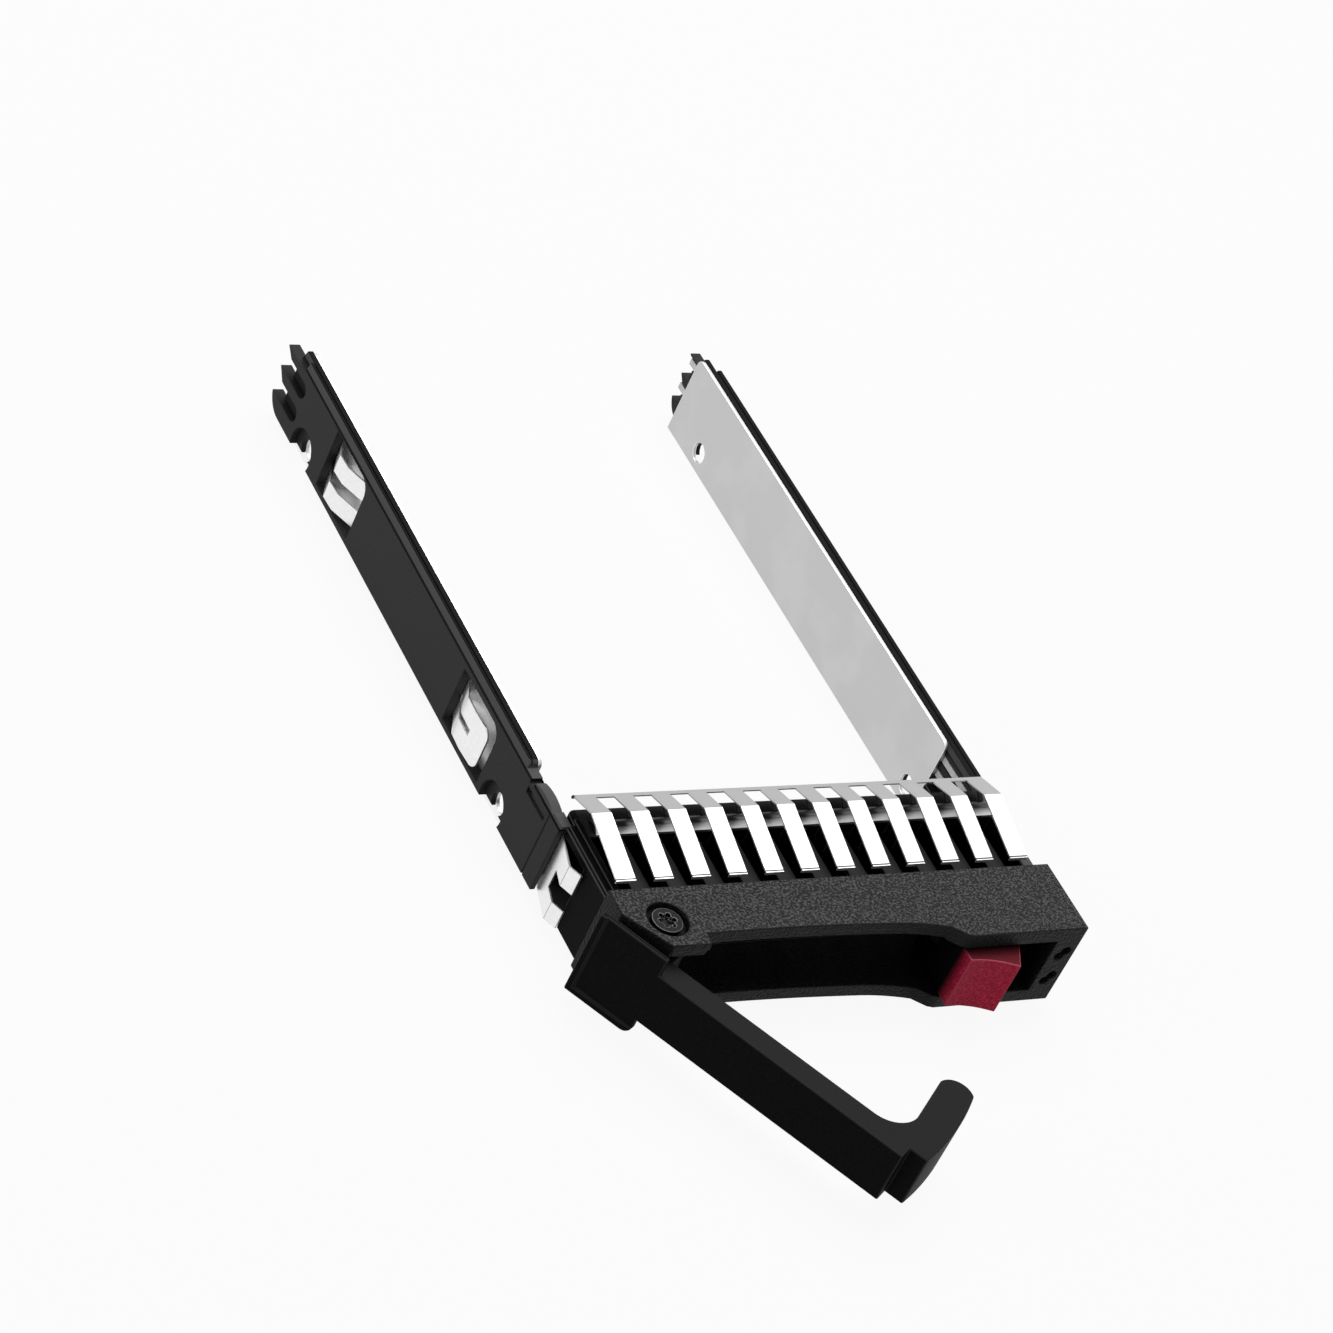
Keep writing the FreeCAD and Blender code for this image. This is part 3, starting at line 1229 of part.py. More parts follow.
make_front_bezel()
make_bezel_frame()
make_finger_strip()
make_vent_screen()
for name, side in (("left", -1), ("right", 1)):
    make_rail(name + "_rail", side)
    make_side_plate(name + "_side_plate", side)
    rear_high = s.rear_leaf_high if side < 0 else s.pipe_leaf_high
    front_high = s.front_leaf_high if side < 0 else s.pipe_leaf_high
    make_side_spring(name + "_rear_spring", side, s.rear_window_front, s.rear_window_rear,
                     rear_high, True)
    make_side_spring(name + "_front_spring", side, s.front_window_front, s.front_window_rear,
                     front_high, False)
    make_rivets(name + "_rivets", side)
make_left_clip()
make_lever()
make_pivot_screw()
make_pivot_bush()
make_lever_spring()
make_release_button()
make_guide_pin()
make_button_spring()
make_light_pipe("light_pipe_upper", box_outline(s.led_depth, s.pipe_upper - s.pipe_half,
                                                s.pipe_end, s.pipe_upper + s.pipe_half))
make_light_pipe("light_pipe_lower", lower_pipe_ribbon(s.pipe_half, s.pipe_end))
doc.recompute()

for item in doc.Objects:
    if "Invalid" in item.State or "Error" in item.State:
        raise RuntimeError("%s failed: %s" % (item.Name, item.State))
for item in doc.Objects:
    if item.TypeId == "PartDesign::Pocket":
        before, after = item.BaseFeature.Shape.Volume, item.Shape.Volume
        if before - after < 1e-6:
            raise RuntimeError("%s cuts nothing" % item.Name)

os.makedirs("parts", exist_ok=True)
for body in bodies:
    shape = body.Shape
    if shape.isNull() or not shape.isValid():
        raise RuntimeError("%s has no valid shape" % body.Name)
    shape.exportStep("parts/%s.step" % body.Label)
    print("%-18s %3d faces %10.2f mm3, %d solids"
          % (body.Label, len(shape.Faces), shape.Volume, len(shape.Solids)))
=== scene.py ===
# %% [markdown]
# Hot swap drive caddy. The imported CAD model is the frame: every piece sits where
# the CAD says, in metres, with +Y to the back of the caddy and +Z up. This
# notebook gives the pieces their softened edges, their finishes and the light of
# the photograph.

# %% Load the frame
import json
from math import cos, radians, sin

import bmesh
import bpy
from mathutils import Matrix, Vector


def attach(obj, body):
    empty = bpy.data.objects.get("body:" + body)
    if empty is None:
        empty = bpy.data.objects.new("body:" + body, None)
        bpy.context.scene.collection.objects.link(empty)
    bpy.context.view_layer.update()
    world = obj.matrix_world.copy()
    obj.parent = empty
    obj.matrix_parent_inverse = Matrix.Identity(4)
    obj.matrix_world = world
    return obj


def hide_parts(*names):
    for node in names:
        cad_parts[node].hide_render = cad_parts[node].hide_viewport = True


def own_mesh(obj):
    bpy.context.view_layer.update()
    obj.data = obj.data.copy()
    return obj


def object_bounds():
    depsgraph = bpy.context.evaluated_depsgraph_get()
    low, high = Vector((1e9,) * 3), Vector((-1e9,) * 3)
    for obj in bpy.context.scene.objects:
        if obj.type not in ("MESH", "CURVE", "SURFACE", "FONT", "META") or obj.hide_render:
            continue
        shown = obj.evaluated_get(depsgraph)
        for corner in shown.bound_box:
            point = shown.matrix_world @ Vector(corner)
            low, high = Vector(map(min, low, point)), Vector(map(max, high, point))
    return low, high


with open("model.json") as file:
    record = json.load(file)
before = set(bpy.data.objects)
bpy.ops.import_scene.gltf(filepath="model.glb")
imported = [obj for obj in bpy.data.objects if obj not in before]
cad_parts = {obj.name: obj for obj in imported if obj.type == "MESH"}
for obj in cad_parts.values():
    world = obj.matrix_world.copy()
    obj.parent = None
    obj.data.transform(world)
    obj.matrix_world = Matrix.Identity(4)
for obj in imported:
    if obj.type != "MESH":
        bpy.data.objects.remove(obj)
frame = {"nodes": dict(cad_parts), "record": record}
cad_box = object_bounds()
scene = bpy.context.scene
scene.view_settings.view_transform = "Standard"
mm = 0.001
print("CAD nodes:", len(frame["nodes"]))

# %% [markdown]
# The camera stands at the front left, above the caddy, and is rolled, so that the
# rails run up to the left of the picture. Its place was fitted to the photograph
# from the drive's screw spacing and the width of the bezel. A camera looks down
# its own -Z axis, so the matrix holds the right, up and backward directions.

# %% Camera
CAMERA_PLACE = Vector((-0.34373, -0.31329, 0.37760))
CAMERA_RIGHT = Vector((0.8383922, -0.4069437, 0.3626229))
CAMERA_DOWN = Vector((-0.0219154, -0.6899098, -0.7235635))
CAMERA_FORWARD = Vector((0.5446267, 0.5986830, -0.5873333))
FOCAL_LENGTH = 113.70
SENSOR_WIDTH = 36.0
NEAREST, FARTHEST = 0.01, 20

camera_data = bpy.data.cameras.new("camera")
camera_data.lens = FOCAL_LENGTH
camera_data.sensor_width = SENSOR_WIDTH
camera_data.clip_start = NEAREST
camera_data.clip_end = FARTHEST
camera = bpy.data.objects.new("camera", camera_data)
turn = Matrix((CAMERA_RIGHT, -CAMERA_DOWN, -CAMERA_FORWARD)).transposed()
camera.matrix_world = Matrix.Translation(CAMERA_PLACE) @ turn.to_4x4()
scene.collection.objects.link(camera)
scene.camera = camera
print("camera to bezel: %.3f m" % CAMERA_PLACE.length)

# %% [markdown]
# The photograph's ground is plain white, and a floor that takes a shadow can't be
# lit to a plain white without too much light on the caddy. So the floor is a pale
# matt surface, and most of its white is shown only to rays that look at it: those
# from the camera, from a mirror or through a clear part. Bright steel then
# mirrors a white ground, and the light on the caddy stays as it is.

# %% Floor finish
FLOOR_WHITE = 0.6
FLOOR_SHARE_SEEN_WHITE = 0.93
WHITE = (1, 1, 1, 1)


def empty_tree(owner):
    """The node tree of a material or a world, with nothing in it yet."""
    owner.use_nodes = True
    tree = owner.node_tree
    tree.nodes.clear()
    return tree


def new_node(tree, kind, **values):
    """A shader node with its properties or unlinked sockets set by name."""
    node = tree.nodes.new(kind)
    for name, value in values.items():
        label = name.replace("_", " ")
        if label in node.inputs:
            node.inputs[label].default_value = value
        else:
            setattr(node, name, value)
    return node


def seen_directly(tree):
    """1 for rays that look at a surface, and 0 for rays that carry its light to others."""
    rays = new_node(tree, "ShaderNodeLightPath")
    seen = rays.outputs["Is Camera Ray"]
    for kind in ("Is Glossy Ray", "Is Transmission Ray"):
        either = new_node(tree, "ShaderNodeMath", operation="MAXIMUM")
        tree.links.new(seen, either.inputs[0])
        tree.links.new(rays.outputs[kind], either.inputs[1])
        seen = either.outputs[0]
    return seen


floor_finish = bpy.data.materials.new("floor_white")
tree = empty_tree(floor_finish)
matt = new_node(tree, "ShaderNodeBsdfDiffuse", Color=(FLOOR_WHITE,) * 3 + (1,))
white = new_node(tree, "ShaderNodeEmission", Color=WHITE, Strength=1.0)
share = new_node(tree, "ShaderNodeMath", operation="MULTIPLY")
share.inputs[1].default_value = FLOOR_SHARE_SEEN_WHITE
blend = new_node(tree, "ShaderNodeMixShader")
output = new_node(tree, "ShaderNodeOutputMaterial")
tree.links.new(seen_directly(tree), share.inputs[0])
tree.links.new(share.outputs[0], blend.inputs["Fac"])
tree.links.new(matt.outputs[0], blend.inputs[1])
tree.links.new(white.outputs[0], blend.inputs[2])
tree.links.new(blend.outputs[0], output.inputs["Surface"])
print("floor finish: %d nodes" % len(tree.nodes))

# %% [markdown]
# The floor itself is a single square face, wide enough to fill the picture. It
# lies a hair below the caddy's lowest point, so that the two never share a plane.

# %% Floor
FLOOR_HALF = 3.0
FLOOR_DROP = 0.02 * mm

floor_mesh = bmesh.new()
bmesh.ops.create_grid(floor_mesh, x_segments=1, y_segments=1, size=FLOOR_HALF)
floor_level = cad_box[0].z - FLOOR_DROP
bmesh.ops.translate(floor_mesh, verts=floor_mesh.verts, vec=(0, 0, floor_level))
floor_data = bpy.data.meshes.new("floor")
floor_mesh.to_mesh(floor_data)
floor_mesh.free()
floor = bpy.data.objects.new("floor", floor_data)
scene.collection.objects.link(floor)
floor_data.materials.append(floor_finish)
print("floor at %.2f mm" % (floor_level / mm))

# %% [markdown]
# A product photograph like this one is lit by big soft boxes round a white tent.
# The world is white for the camera and for reflections, and dimmer as a light.
# One large lamp above and behind gives the tops their gray, to which painted light adds on the
# frame's top and the lever bar's top, and a weak one from the left lights the rail's outer face.

# %% Light
WORLD_FILL = 0.14
CADDY_MIDDLE = (0, 0.05, 0.01)
TOP_BOX_PLACE, TOP_BOX_SIZE, TOP_BOX_POWER = (0.15, 0.35, 0.9), 0.8, 9.0
LEFT_BOX_PLACE, LEFT_BOX_SIZE, LEFT_BOX_POWER = (-0.9, 0.1, 0.35), 0.5, 2.0


def white_tent():
    """A world that is white to look at and a dim fill as a light."""
    world = bpy.data.worlds.new("white_tent")
    tree = empty_tree(world)
    shown = new_node(tree, "ShaderNodeBackground", Color=WHITE, Strength=1.0)
    fill = new_node(tree, "ShaderNodeBackground", Color=WHITE, Strength=WORLD_FILL)
    blend = new_node(tree, "ShaderNodeMixShader")
    output = new_node(tree, "ShaderNodeOutputWorld")
    tree.links.new(seen_directly(tree), blend.inputs["Fac"])
    tree.links.new(fill.outputs[0], blend.inputs[1])
    tree.links.new(shown.outputs[0], blend.inputs[2])
    tree.links.new(blend.outputs[0], output.inputs["Surface"])
    return world


def soft_box(name, place, size, power):
    """Adds a square area lamp that looks from its place at the caddy's middle."""
    lamp_data = bpy.data.lights.new(name, "AREA")
    lamp_data.shape = "SQUARE"
    lamp_data.size = size
    lamp_data.energy = power
    lamp = bpy.data.objects.new(name, lamp_data)
    way = Vector(CADDY_MIDDLE) - Vector(place)
    turn = way.to_track_quat("-Z", "Y").to_matrix()
    lamp.matrix_world = Matrix.Translation(place) @ turn.to_4x4()
    scene.collection.objects.link(lamp)


scene.world = white_tent()
soft_box("top_box", TOP_BOX_PLACE, TOP_BOX_SIZE, TOP_BOX_POWER)
soft_box("left_box", LEFT_BOX_PLACE, LEFT_BOX_SIZE, LEFT_BOX_POWER)

# %% [markdown]
# A moulded part has no knife edge: light catches a thin round along each one. The
# CAD mesh is loose triangles, so a copy has its double points merged and its flat
# faces made whole, and then its sharp edges are bevelled inwards. The rounds and
# the level tops are marked in face attributes, which the finishes read later. The
# copy stands in for the CAD node, which stays as it is.

# %% Softened copies of CAD nodes
MERGE = 0.002 * mm
FLAT = radians(0.6)
SHARP = radians(28)
FACING_UP = 0.99
EDGE_ROUNDS = {
    "front_bezel": 0.18,
    "bezel_frame": 0.12,
    "left_rail": 0.1,
    "right_rail": 0.1,
    "ejector_lever": 0.22,
    "release_button": 0.2,
    "left_clip": 0.06,
    "pivot_screw": 0.1,
    "left_side_plate": 0.08,
    "right_side_plate": 0.08,
    "left_rear_spring": 0.05,
    "left_front_spring": 0.05,
    "right_rear_spring": 0.05,
    "right_front_spring": 0.05,
}
slot_of_node = {s["node"]: s["material_slot"] for s in frame["record"]["subparts"]}


def body_of_node(node):
    """The name of the body that a CAD node moves with."""
    for body, nodes in frame["record"]["behaviour"]["bodies"].items():
        if node in nodes:
            return body
    raise ValueError(node)


def merged(node):
    """A node's mesh with its points joined and its flat faces whole."""
    mesh = bmesh.new()
    mesh.from_mesh(frame["nodes"][node].data)
    bmesh.ops.remove_doubles(mesh, verts=mesh.verts, dist=MERGE)
    bmesh.ops.dissolve_limit(mesh, angle_limit=FLAT, verts=mesh.verts, edges=mesh.edges)
    return mesh


def rounded(mesh, edges, width, segments):
    """Bevels edges by a width in millimetres, and returns the new faces."""
    made = bmesh.ops.bevel(mesh, geom=edges, offset=width * mm, offset_type="OFFSET",
                           segments=segments, profile=0.5, affect="EDGES", material=-1)
    return made["faces"]


def bevel_sharp(mesh, width, segments=2):
    """Rounds the edges that turn by more than SHARP, and marks the rounds and the tops."""
    mark = mesh.faces.layers.float.new("edge")
    top = mesh.faces.layers.float.new("top")
    edges = [e for e in mesh.edges if e.is_manifold and e.calc_face_angle(0) > SHARP]
    for face in rounded(mesh, edges, width, segments):
        face[mark] = 1.0
    mesh.normal_update()
    for face in mesh.faces:
        face[top] = float(face.normal.z > FACING_UP)


def finished(mesh, name, slot, body, *nodes):
    """Turns a bmesh into a piece that rides on its body and may stand in for CAD nodes."""
    data = bpy.data.meshes.new(name)
    mesh.to_mesh(data)
    mesh.free()
    data.shade_smooth()
    data.set_sharp_from_angle(angle=SHARP)
    piece = bpy.data.objects.new(name, data)
    scene.collection.objects.link(piece)
    weighted = piece.modifiers.new("weighted", "WEIGHTED_NORMAL")
    weighted.keep_sharp = True
    if nodes:
        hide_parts(*nodes)
    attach(piece, body)
    return piece


def soften(node, width):
    """A bevelled copy that stands in for one CAD node."""
    mesh = merged(node)
    bevel_sharp(mesh, width)
    piece = finished(mesh, node + "_soft", slot_of_node[node], body_of_node(node), node)
    print("%-24s %6d faces" % (piece.name, len(piece.data.polygons)))
    return piece


soft = {node: soften(node, width) for node, width in EDGE_ROUNDS.items()}

# %% [markdown]
# The sprung fingers are one folded sheet of steel. From the front they rise to a
# crest and fall to a spine that ends in a curl. A narrow leg under each finger
# leads forward and down from the curl to the arched band on the frame. Each
# stretch is drawn as a line of points seen from the side, swept across the caddy
# and given the sheet's thickness, which keeps the bends crisp with few faces. The
# spine's front edge and the inside of its curl are marked like the rounds,
# because they lie in shadow and take the same dark tone.

# %% Sprung fingers
SHEET = 0.25
STRIP_ROUND = 0.04
STRIP_HALF = 35.65
FINGER_COUNT = 12
FINGER_SPACING = 6.17
FINGER_HALF = 1.55
FINGER_LINE = [(14.8, 14.15), (14.8, 14.65), (25.6, 17.1), (29.95, 15.713)]
SPINE_LINE = [(29.95, 15.713), (30.775, 15.45), (30.95, 15.217), (30.95, 14.983),
              (30.775, 14.75)]
SPINE_FRONT = 29.9
FACING_FRONT = -0.9
LEG_WIDTH = 0.8
LEG_LINE = [(30.6, 14.75), (27.95, 13.2)]
BAND_LEFT = -33.4
BAND_MIDDLE = (26.65, 11.97)
BAND_RADIUS = 1.75
BAND_HALF_ANGLE = 56
BAND_STEPS = 8


def bent_sheet(mesh, line, left, right):
    """A sheet bent along (y, z) points, swept from left to right and thickened inwards."""
    start = [mesh.verts.new((left * mm, y * mm, z * mm)) for y, z in line]
    edges = [mesh.edges.new(pair) for pair in zip(start, start[1:])]
    swept = bmesh.ops.extrude_edge_only(mesh, edges=edges)["geom"]
    moved = [v for v in swept if isinstance(v, bmesh.types.BMVert)]
    bmesh.ops.translate(mesh, verts=moved, vec=((right - left) * mm, 0, 0))
    faces = [f for f in swept if isinstance(f, bmesh.types.BMFace)]
    bmesh.ops.solidify(mesh, geom=faces, thickness=SHEET * mm)


def arch_line(middle, radius, half_angle, steps):
    """Points of an arch over a middle, from its front foot to its rear foot."""
    angles = [radians(-half_angle + 2 * half_angle * i / steps) for i in range(steps + 1)]
    return [(middle[0] + radius * sin(a), middle[1] + radius * cos(a)) for a in angles]


strip_mesh = bmesh.new()
for number in range(FINGER_COUNT):
    middle = (number - (FINGER_COUNT - 1) / 2) * FINGER_SPACING
    left = -STRIP_HALF if number == 0 else middle - FINGER_HALF
    right = STRIP_HALF if number == FINGER_COUNT - 1 else middle + FINGER_HALF
    bent_sheet(strip_mesh, FINGER_LINE, left, right)
    leg_right = middle + FINGER_HALF
    bent_sheet(strip_mesh, LEG_LINE, leg_right - LEG_WIDTH, leg_right)
bent_sheet(strip_mesh, SPINE_LINE, -STRIP_HALF, STRIP_HALF)
band_line = arch_line(BAND_MIDDLE, BAND_RADIUS, BAND_HALF_ANGLE, BAND_STEPS)
bent_sheet(strip_mesh, band_line, BAND_LEFT, STRIP_HALF)
bmesh.ops.recalc_face_normals(strip_mesh, faces=strip_mesh.faces)
bevel_sharp(strip_mesh, STRIP_ROUND, segments=1)
strip_mark = strip_mesh.faces.layers.float["edge"]
for face in strip_mesh.faces:
    in_spine = face.calc_center_median().y > SPINE_FRONT * mm
    if in_spine and face.normal.y < FACING_FRONT:
        face[strip_mark] = 1.0
soft["finger_strip"] = finished(strip_mesh, "sprung_fingers", "spring_steel", "tray",
                                "finger_strip")
reach = [v.co / mm for v in soft["finger_strip"].data.vertices]
print("fingers reach Y %.2f to %.2f and Z %.2f to %.2f"
      % (min(v.y for v in reach), max(v.y for v in reach),
         min(v.z for v in reach), max(v.z for v in reach)))

# %% [markdown]
# Behind the frame's vents stands a thin black matt sheet, so the mouth looks black from the
# front. It is painted shade: a dark sheet that stands for the shade inside the mouth.

# %% Black sheet behind the mouth, a painted shade
SHADE_SHEET_HALF = 34.1
SHADE_SHEET_LOW, SHADE_SHEET_HIGH = 2.4, 10.3
SHADE_SHEET_FRONT, SHADE_SHEET_THICK = 28.05, 0.12


def box(mesh, low, high):
    """Adds a block between two corners, given in millimetres."""
    made = bmesh.ops.create_cube(mesh, size=1.0)["verts"]
    size = Vector(high) - Vector(low)
    bmesh.ops.scale(mesh, verts=made, vec=size * mm)
    bmesh.ops.translate(mesh, verts=made, vec=(Vector(low) + size / 2) * mm)


# A black sheet that paints the shade inside the mouth.
shade_sheet_mesh = bmesh.new()
box(shade_sheet_mesh, (-SHADE_SHEET_HALF, SHADE_SHEET_FRONT, SHADE_SHEET_LOW),
    (SHADE_SHEET_HALF, SHADE_SHEET_FRONT + SHADE_SHEET_THICK, SHADE_SHEET_HIGH))
soft["shade_sheet"] = finished(shade_sheet_mesh, "painted_shade_sheet", "frame_plastic", "tray")
print("gauze: %d faces" % len(soft["shade_sheet"].data.polygons))

# %% [markdown]
# A low rib with a round rear end runs along the frame's top beside the first
# finger. It is a block whose two upright rear edges are rounded by a wide bevel,
# before its sharp edges are softened like those of the CAD pieces.

# %% Rib beside the fingers
RIB_LOW = (-35.75, 14.0, 12.8)
RIB_HIGH = (-34.72, 28.4, 13.25)
RIB_END_ROUND, RIB_END_STEPS = 0.5, 5
RIB_ROUND = 0.13
SLACK = 0.1


def upright_at_rear(edge):
    """True for an edge at the rib's rear end that runs up and down."""
    first, second = (v.co / mm for v in edge.verts)
    at_rear = min(first.y, second.y) > RIB_HIGH[1] - SLACK
    return at_rear and abs(first.z - second.z) > SLACK


rib_mesh = bmesh.new()
box(rib_mesh, RIB_LOW, RIB_HIGH)
rear_edges = [e for e in rib_mesh.edges if upright_at_rear(e)]
rounded(rib_mesh, rear_edges, RIB_END_ROUND, RIB_END_STEPS)
bevel_sharp(rib_mesh, RIB_ROUND)
soft["rib"] = finished(rib_mesh, "frame_rib", "frame_plastic", "tray")
print("rib: %d edges rounded at the rear, %d faces"
      % (len(rear_edges), len(soft["rib"].data.polygons)))

# %% [markdown]
# The button's return spring is caught between the button and the cover. As the button is pushed,
# the spring gets shorter towards its fixed end. Here it is a merged copy of its CAD node, with a
# mesh of its own, that rides on the tray.

soft["button_spring"] = finished(merged("button_spring"), "button_spring_soft", "spring_wire",
                                 "tray", "button_spring")
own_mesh(soft["button_spring"])

# %% [markdown]
# The finishes share one effect: a fine grain that breaks up a moulded surface. It
# is built once as a shader node group, which puts out a bump height and a mask,
# and each material places it with its own scale. The mask is stretched between
# two levels of the noise, so that the specks have clear borders.

# %% Grain group
GRAIN_LOW, GRAIN_HIGH = 0.465, 0.61
GRAIN_DETAIL = 2.0
GRAIN_ROUGHNESS = 0.55
NUMBER, VECTOR = "NodeSocketFloat", "NodeSocketVector"


def new_group(name, inputs, outputs):
    """A shader node group with named sockets, and its input and output nodes."""
    group = bpy.data.node_groups.new(name, "ShaderNodeTree")
    for way, sockets in (("INPUT", inputs), ("OUTPUT", outputs)):
        for label, kind in sockets.items():
            group.interface.new_socket(name=label, in_out=way, socket_type=kind)
    start = group.nodes.new("NodeGroupInput")
    end = group.nodes.new("NodeGroupOutput")
    return group, start, end


def grain_group():
    """Noise in object space: a height for bumps and a mask for colour."""
    inputs = {"Size": NUMBER}
    outputs = {"Height": NUMBER, "Mask": NUMBER}
    group, start, end = new_group("grain", inputs, outputs)
    place = group.nodes.new("ShaderNodeTexCoord")
    noise = new_node(group, "ShaderNodeTexNoise", Detail=GRAIN_DETAIL, Roughness=GRAIN_ROUGHNESS)
    cells = new_node(group, "ShaderNodeTexVoronoi", feature="SMOOTH_F1")
    both = new_node(group, "ShaderNodeMath", operation="ADD")
    spread = new_node(group, "ShaderNodeMapRange", From_Min=GRAIN_LOW, From_Max=GRAIN_HIGH)
    for texture in (noise, cells):
        group.links.new(place.outputs["Object"], texture.inputs["Vector"])
        group.links.new(start.outputs["Size"], texture.inputs["Scale"])
    group.links.new(noise.outputs["Fac"], both.inputs[0])
    group.links.new(cells.outputs["Distance"], both.inputs[1])
    group.links.new(both.outputs[0], end.inputs["Height"])
    group.links.new(noise.outputs["Fac"], spread.inputs["Value"])
    group.links.new(spread.outputs["Result"], end.inputs["Mask"])
    return group


grain = grain_group()
print("grain group:", [s.name for s in grain.interface.items_tree])

# %% [markdown]
# Some finishes change over a piece: the cover is grained on top and smooth on its sides, which
# are darkened by painted shade, and the button is red in front and painted black where it slides,
# a painted shade. A second group gives a mask that rises from 0 to 1 along one direction of the
# object. A place is such a direction with the two distances, in millimetres, between which its
# mask rises. LEFT, FORWARD and DOWN count the other way, so their distances are coordinates with
# the sign turned. A place may also be the name of a mark on the faces, and the masks of several
# places are multiplied, so that together they enclose one region of the piece. Most of these
# fades paint light and shade.

# %% Fade group and masks
RIGHT, BACK, UP = (1, 0, 0), (0, 1, 0), (0, 0, 1)
LEFT, FORWARD, DOWN = (-1, 0, 0), (0, -1, 0), (0, 0, -1)


def fade_group():
    """A mask that rises from 0 to 1 between two distances along a direction of the object."""
    inputs = {"Way": VECTOR, "Start": NUMBER, "End": NUMBER}
    outputs = {"Mask": NUMBER}
    group, start, end = new_group("fade", inputs, outputs)
    place = group.nodes.new("ShaderNodeTexCoord")
    along = new_node(group, "ShaderNodeVectorMath", operation="DOT_PRODUCT")
    spread = group.nodes.new("ShaderNodeMapRange")
    group.links.new(place.outputs["Object"], along.inputs[0])
    group.links.new(start.outputs["Way"], along.inputs[1])
    group.links.new(along.outputs["Value"], spread.inputs["Value"])
    group.links.new(start.outputs["Start"], spread.inputs["From Min"])
    group.links.new(start.outputs["End"], spread.inputs["From Max"])
    group.links.new(spread.outputs["Result"], end.inputs["Mask"])
    return group


def place_mask(tree, place):
    """A mask from a mark on the faces, or from one fade placed in millimetres."""
    if isinstance(place, str):
        return new_node(tree, "ShaderNodeAttribute", attribute_name=place).outputs["Fac"]
    way, start, end = place
    node = new_node(tree, "ShaderNodeGroup", node_tree=fade, Way=way,
                    Start=start * mm, End=end * mm)
    return node.outputs["Mask"]


def product(tree, masks):
    """Several masks multiplied into one."""
    result = masks[0]
    for mask in masks[1:]:
        node = new_node(tree, "ShaderNodeMath", operation="MULTIPLY")
        tree.links.new(result, node.inputs[0])
        tree.links.new(mask, node.inputs[1])
        result = node.outputs[0]
    return result


fade = fade_group()
print("fade group:", [s.name for s in fade.interface.items_tree])

# %% [markdown]
# Every finish is one Principled shader. Its colour goes from a base to a speck along the grain,
# then to another tone on the marked rounds, which is a painted highlight where that tone is pale
# and painted shade where it is dark, and last to the tones of its fades. A low specular keeps
# black plastic black in a white room. The first finish is the cover's: its top has a coarse grain
# like leather, its sides are smooth and darkened by painted shade, a black line runs along the
# lower lip, painted shade makes the mouth and the pivot's counterbore black inside, and its
# rounds are painted dark as painted shade.

# %% Grained cover
# Painted shade: the cover's sides take a darker flat tone, and the mouth and the pivot's
# counterbore are painted black inside.
COVER_SIDES_PAINTED_SHADE = [(DOWN, -14.95, -14.85)]
LIP_LINE = [(UP, 2.2, 2.28), (DOWN, -2.4, -2.32)]
MOUTH_PAINTED_SHADE = [(BACK, 0.8, 1.6), (RIGHT, -28.5, -28.0), (LEFT, -34.4, -34.2),
         (UP, 2.3, 2.4), (DOWN, -12.6, -12.5)]
COUNTERBORE_PAINTED_SHADE = [(RIGHT, -34.4, -34.3), (LEFT, 28.0, 28.1),
               (BACK, 3.9, 4.0), (FORWARD, -10.1, -10.0),
               (UP, 11.0, 11.1), (DOWN, -14.97, -14.93)]


def gray(value):
    """A colour with the same red, green and blue."""
    return (value, value, value)


def blended(tree, mask, first, second):
    """A colour between two tones; the first may be the output of another node."""
    node = new_node(tree, "ShaderNodeMix", data_type="RGBA")
    if isinstance(first, tuple):
        node.inputs["A"].default_value = first + (1,)
    else:
        tree.links.new(first, node.inputs["A"])
    node.inputs["B"].default_value = second + (1,)
    tree.links.new(mask, node.inputs["Factor"])
    return node.outputs["Result"]


def finish(name, base, speck, roughness, grain_size, bump, metallic=0.0, specular=0.3,
           lift=0.03, edge=None, fades=()):
    """A Principled finish; lift is the grain's height in mm, edge is the tone painted on the
    marked rounds (a painted highlight when pale, painted shade when dark), and fades are (tone,
    places).
    """
    material = bpy.data.materials.new(name)
    tree = empty_tree(material)
    texture = new_node(tree, "ShaderNodeGroup", node_tree=grain, Size=grain_size)
    colour = blended(tree, texture.outputs["Mask"], base, speck)
    # The tone on the marked rounds is a painted highlight when pale and painted shade when dark.
    if edge:
        colour = blended(tree, place_mask(tree, "edge"), colour, edge)
    for tone, places in fades:
        mask = product(tree, [place_mask(tree, place) for place in places])
        colour = blended(tree, mask, colour, tone)
    bumps = new_node(tree, "ShaderNodeBump", Strength=bump, Distance=lift * mm)
    surface = new_node(tree, "ShaderNodeBsdfPrincipled", Roughness=roughness,
                       Metallic=metallic, Specular_IOR_Level=specular)
    output = new_node(tree, "ShaderNodeOutputMaterial")
    tree.links.new(texture.outputs["Height"], bumps.inputs["Height"])
    tree.links.new(colour, surface.inputs["Base Color"])
    tree.links.new(bumps.outputs["Normal"], surface.inputs["Normal"])
    tree.links.new(surface.outputs["BSDF"], output.inputs["Surface"])
    return material


BLACK = gray(0.002)
# The cover's dark rounds are a painted shade.
finishes = {"cover_plastic": finish(
    "cover_grained", base=gray(0.007), speck=(0.085, 0.085, 0.086),
    roughness=0.5, grain_size=2900, bump=1.0, specular=0.1, lift=0.2, edge=gray(0.006),
    fades=[(gray(0.01), COVER_SIDES_PAINTED_SHADE), (BLACK, LIP_LINE), (BLACK, MOUTH_PAINTED_SHADE), (BLACK, COUNTERBORE_PAINTED_SHADE)])}
print("cover: %d nodes" % len(finishes["cover_plastic"].node_tree.nodes))

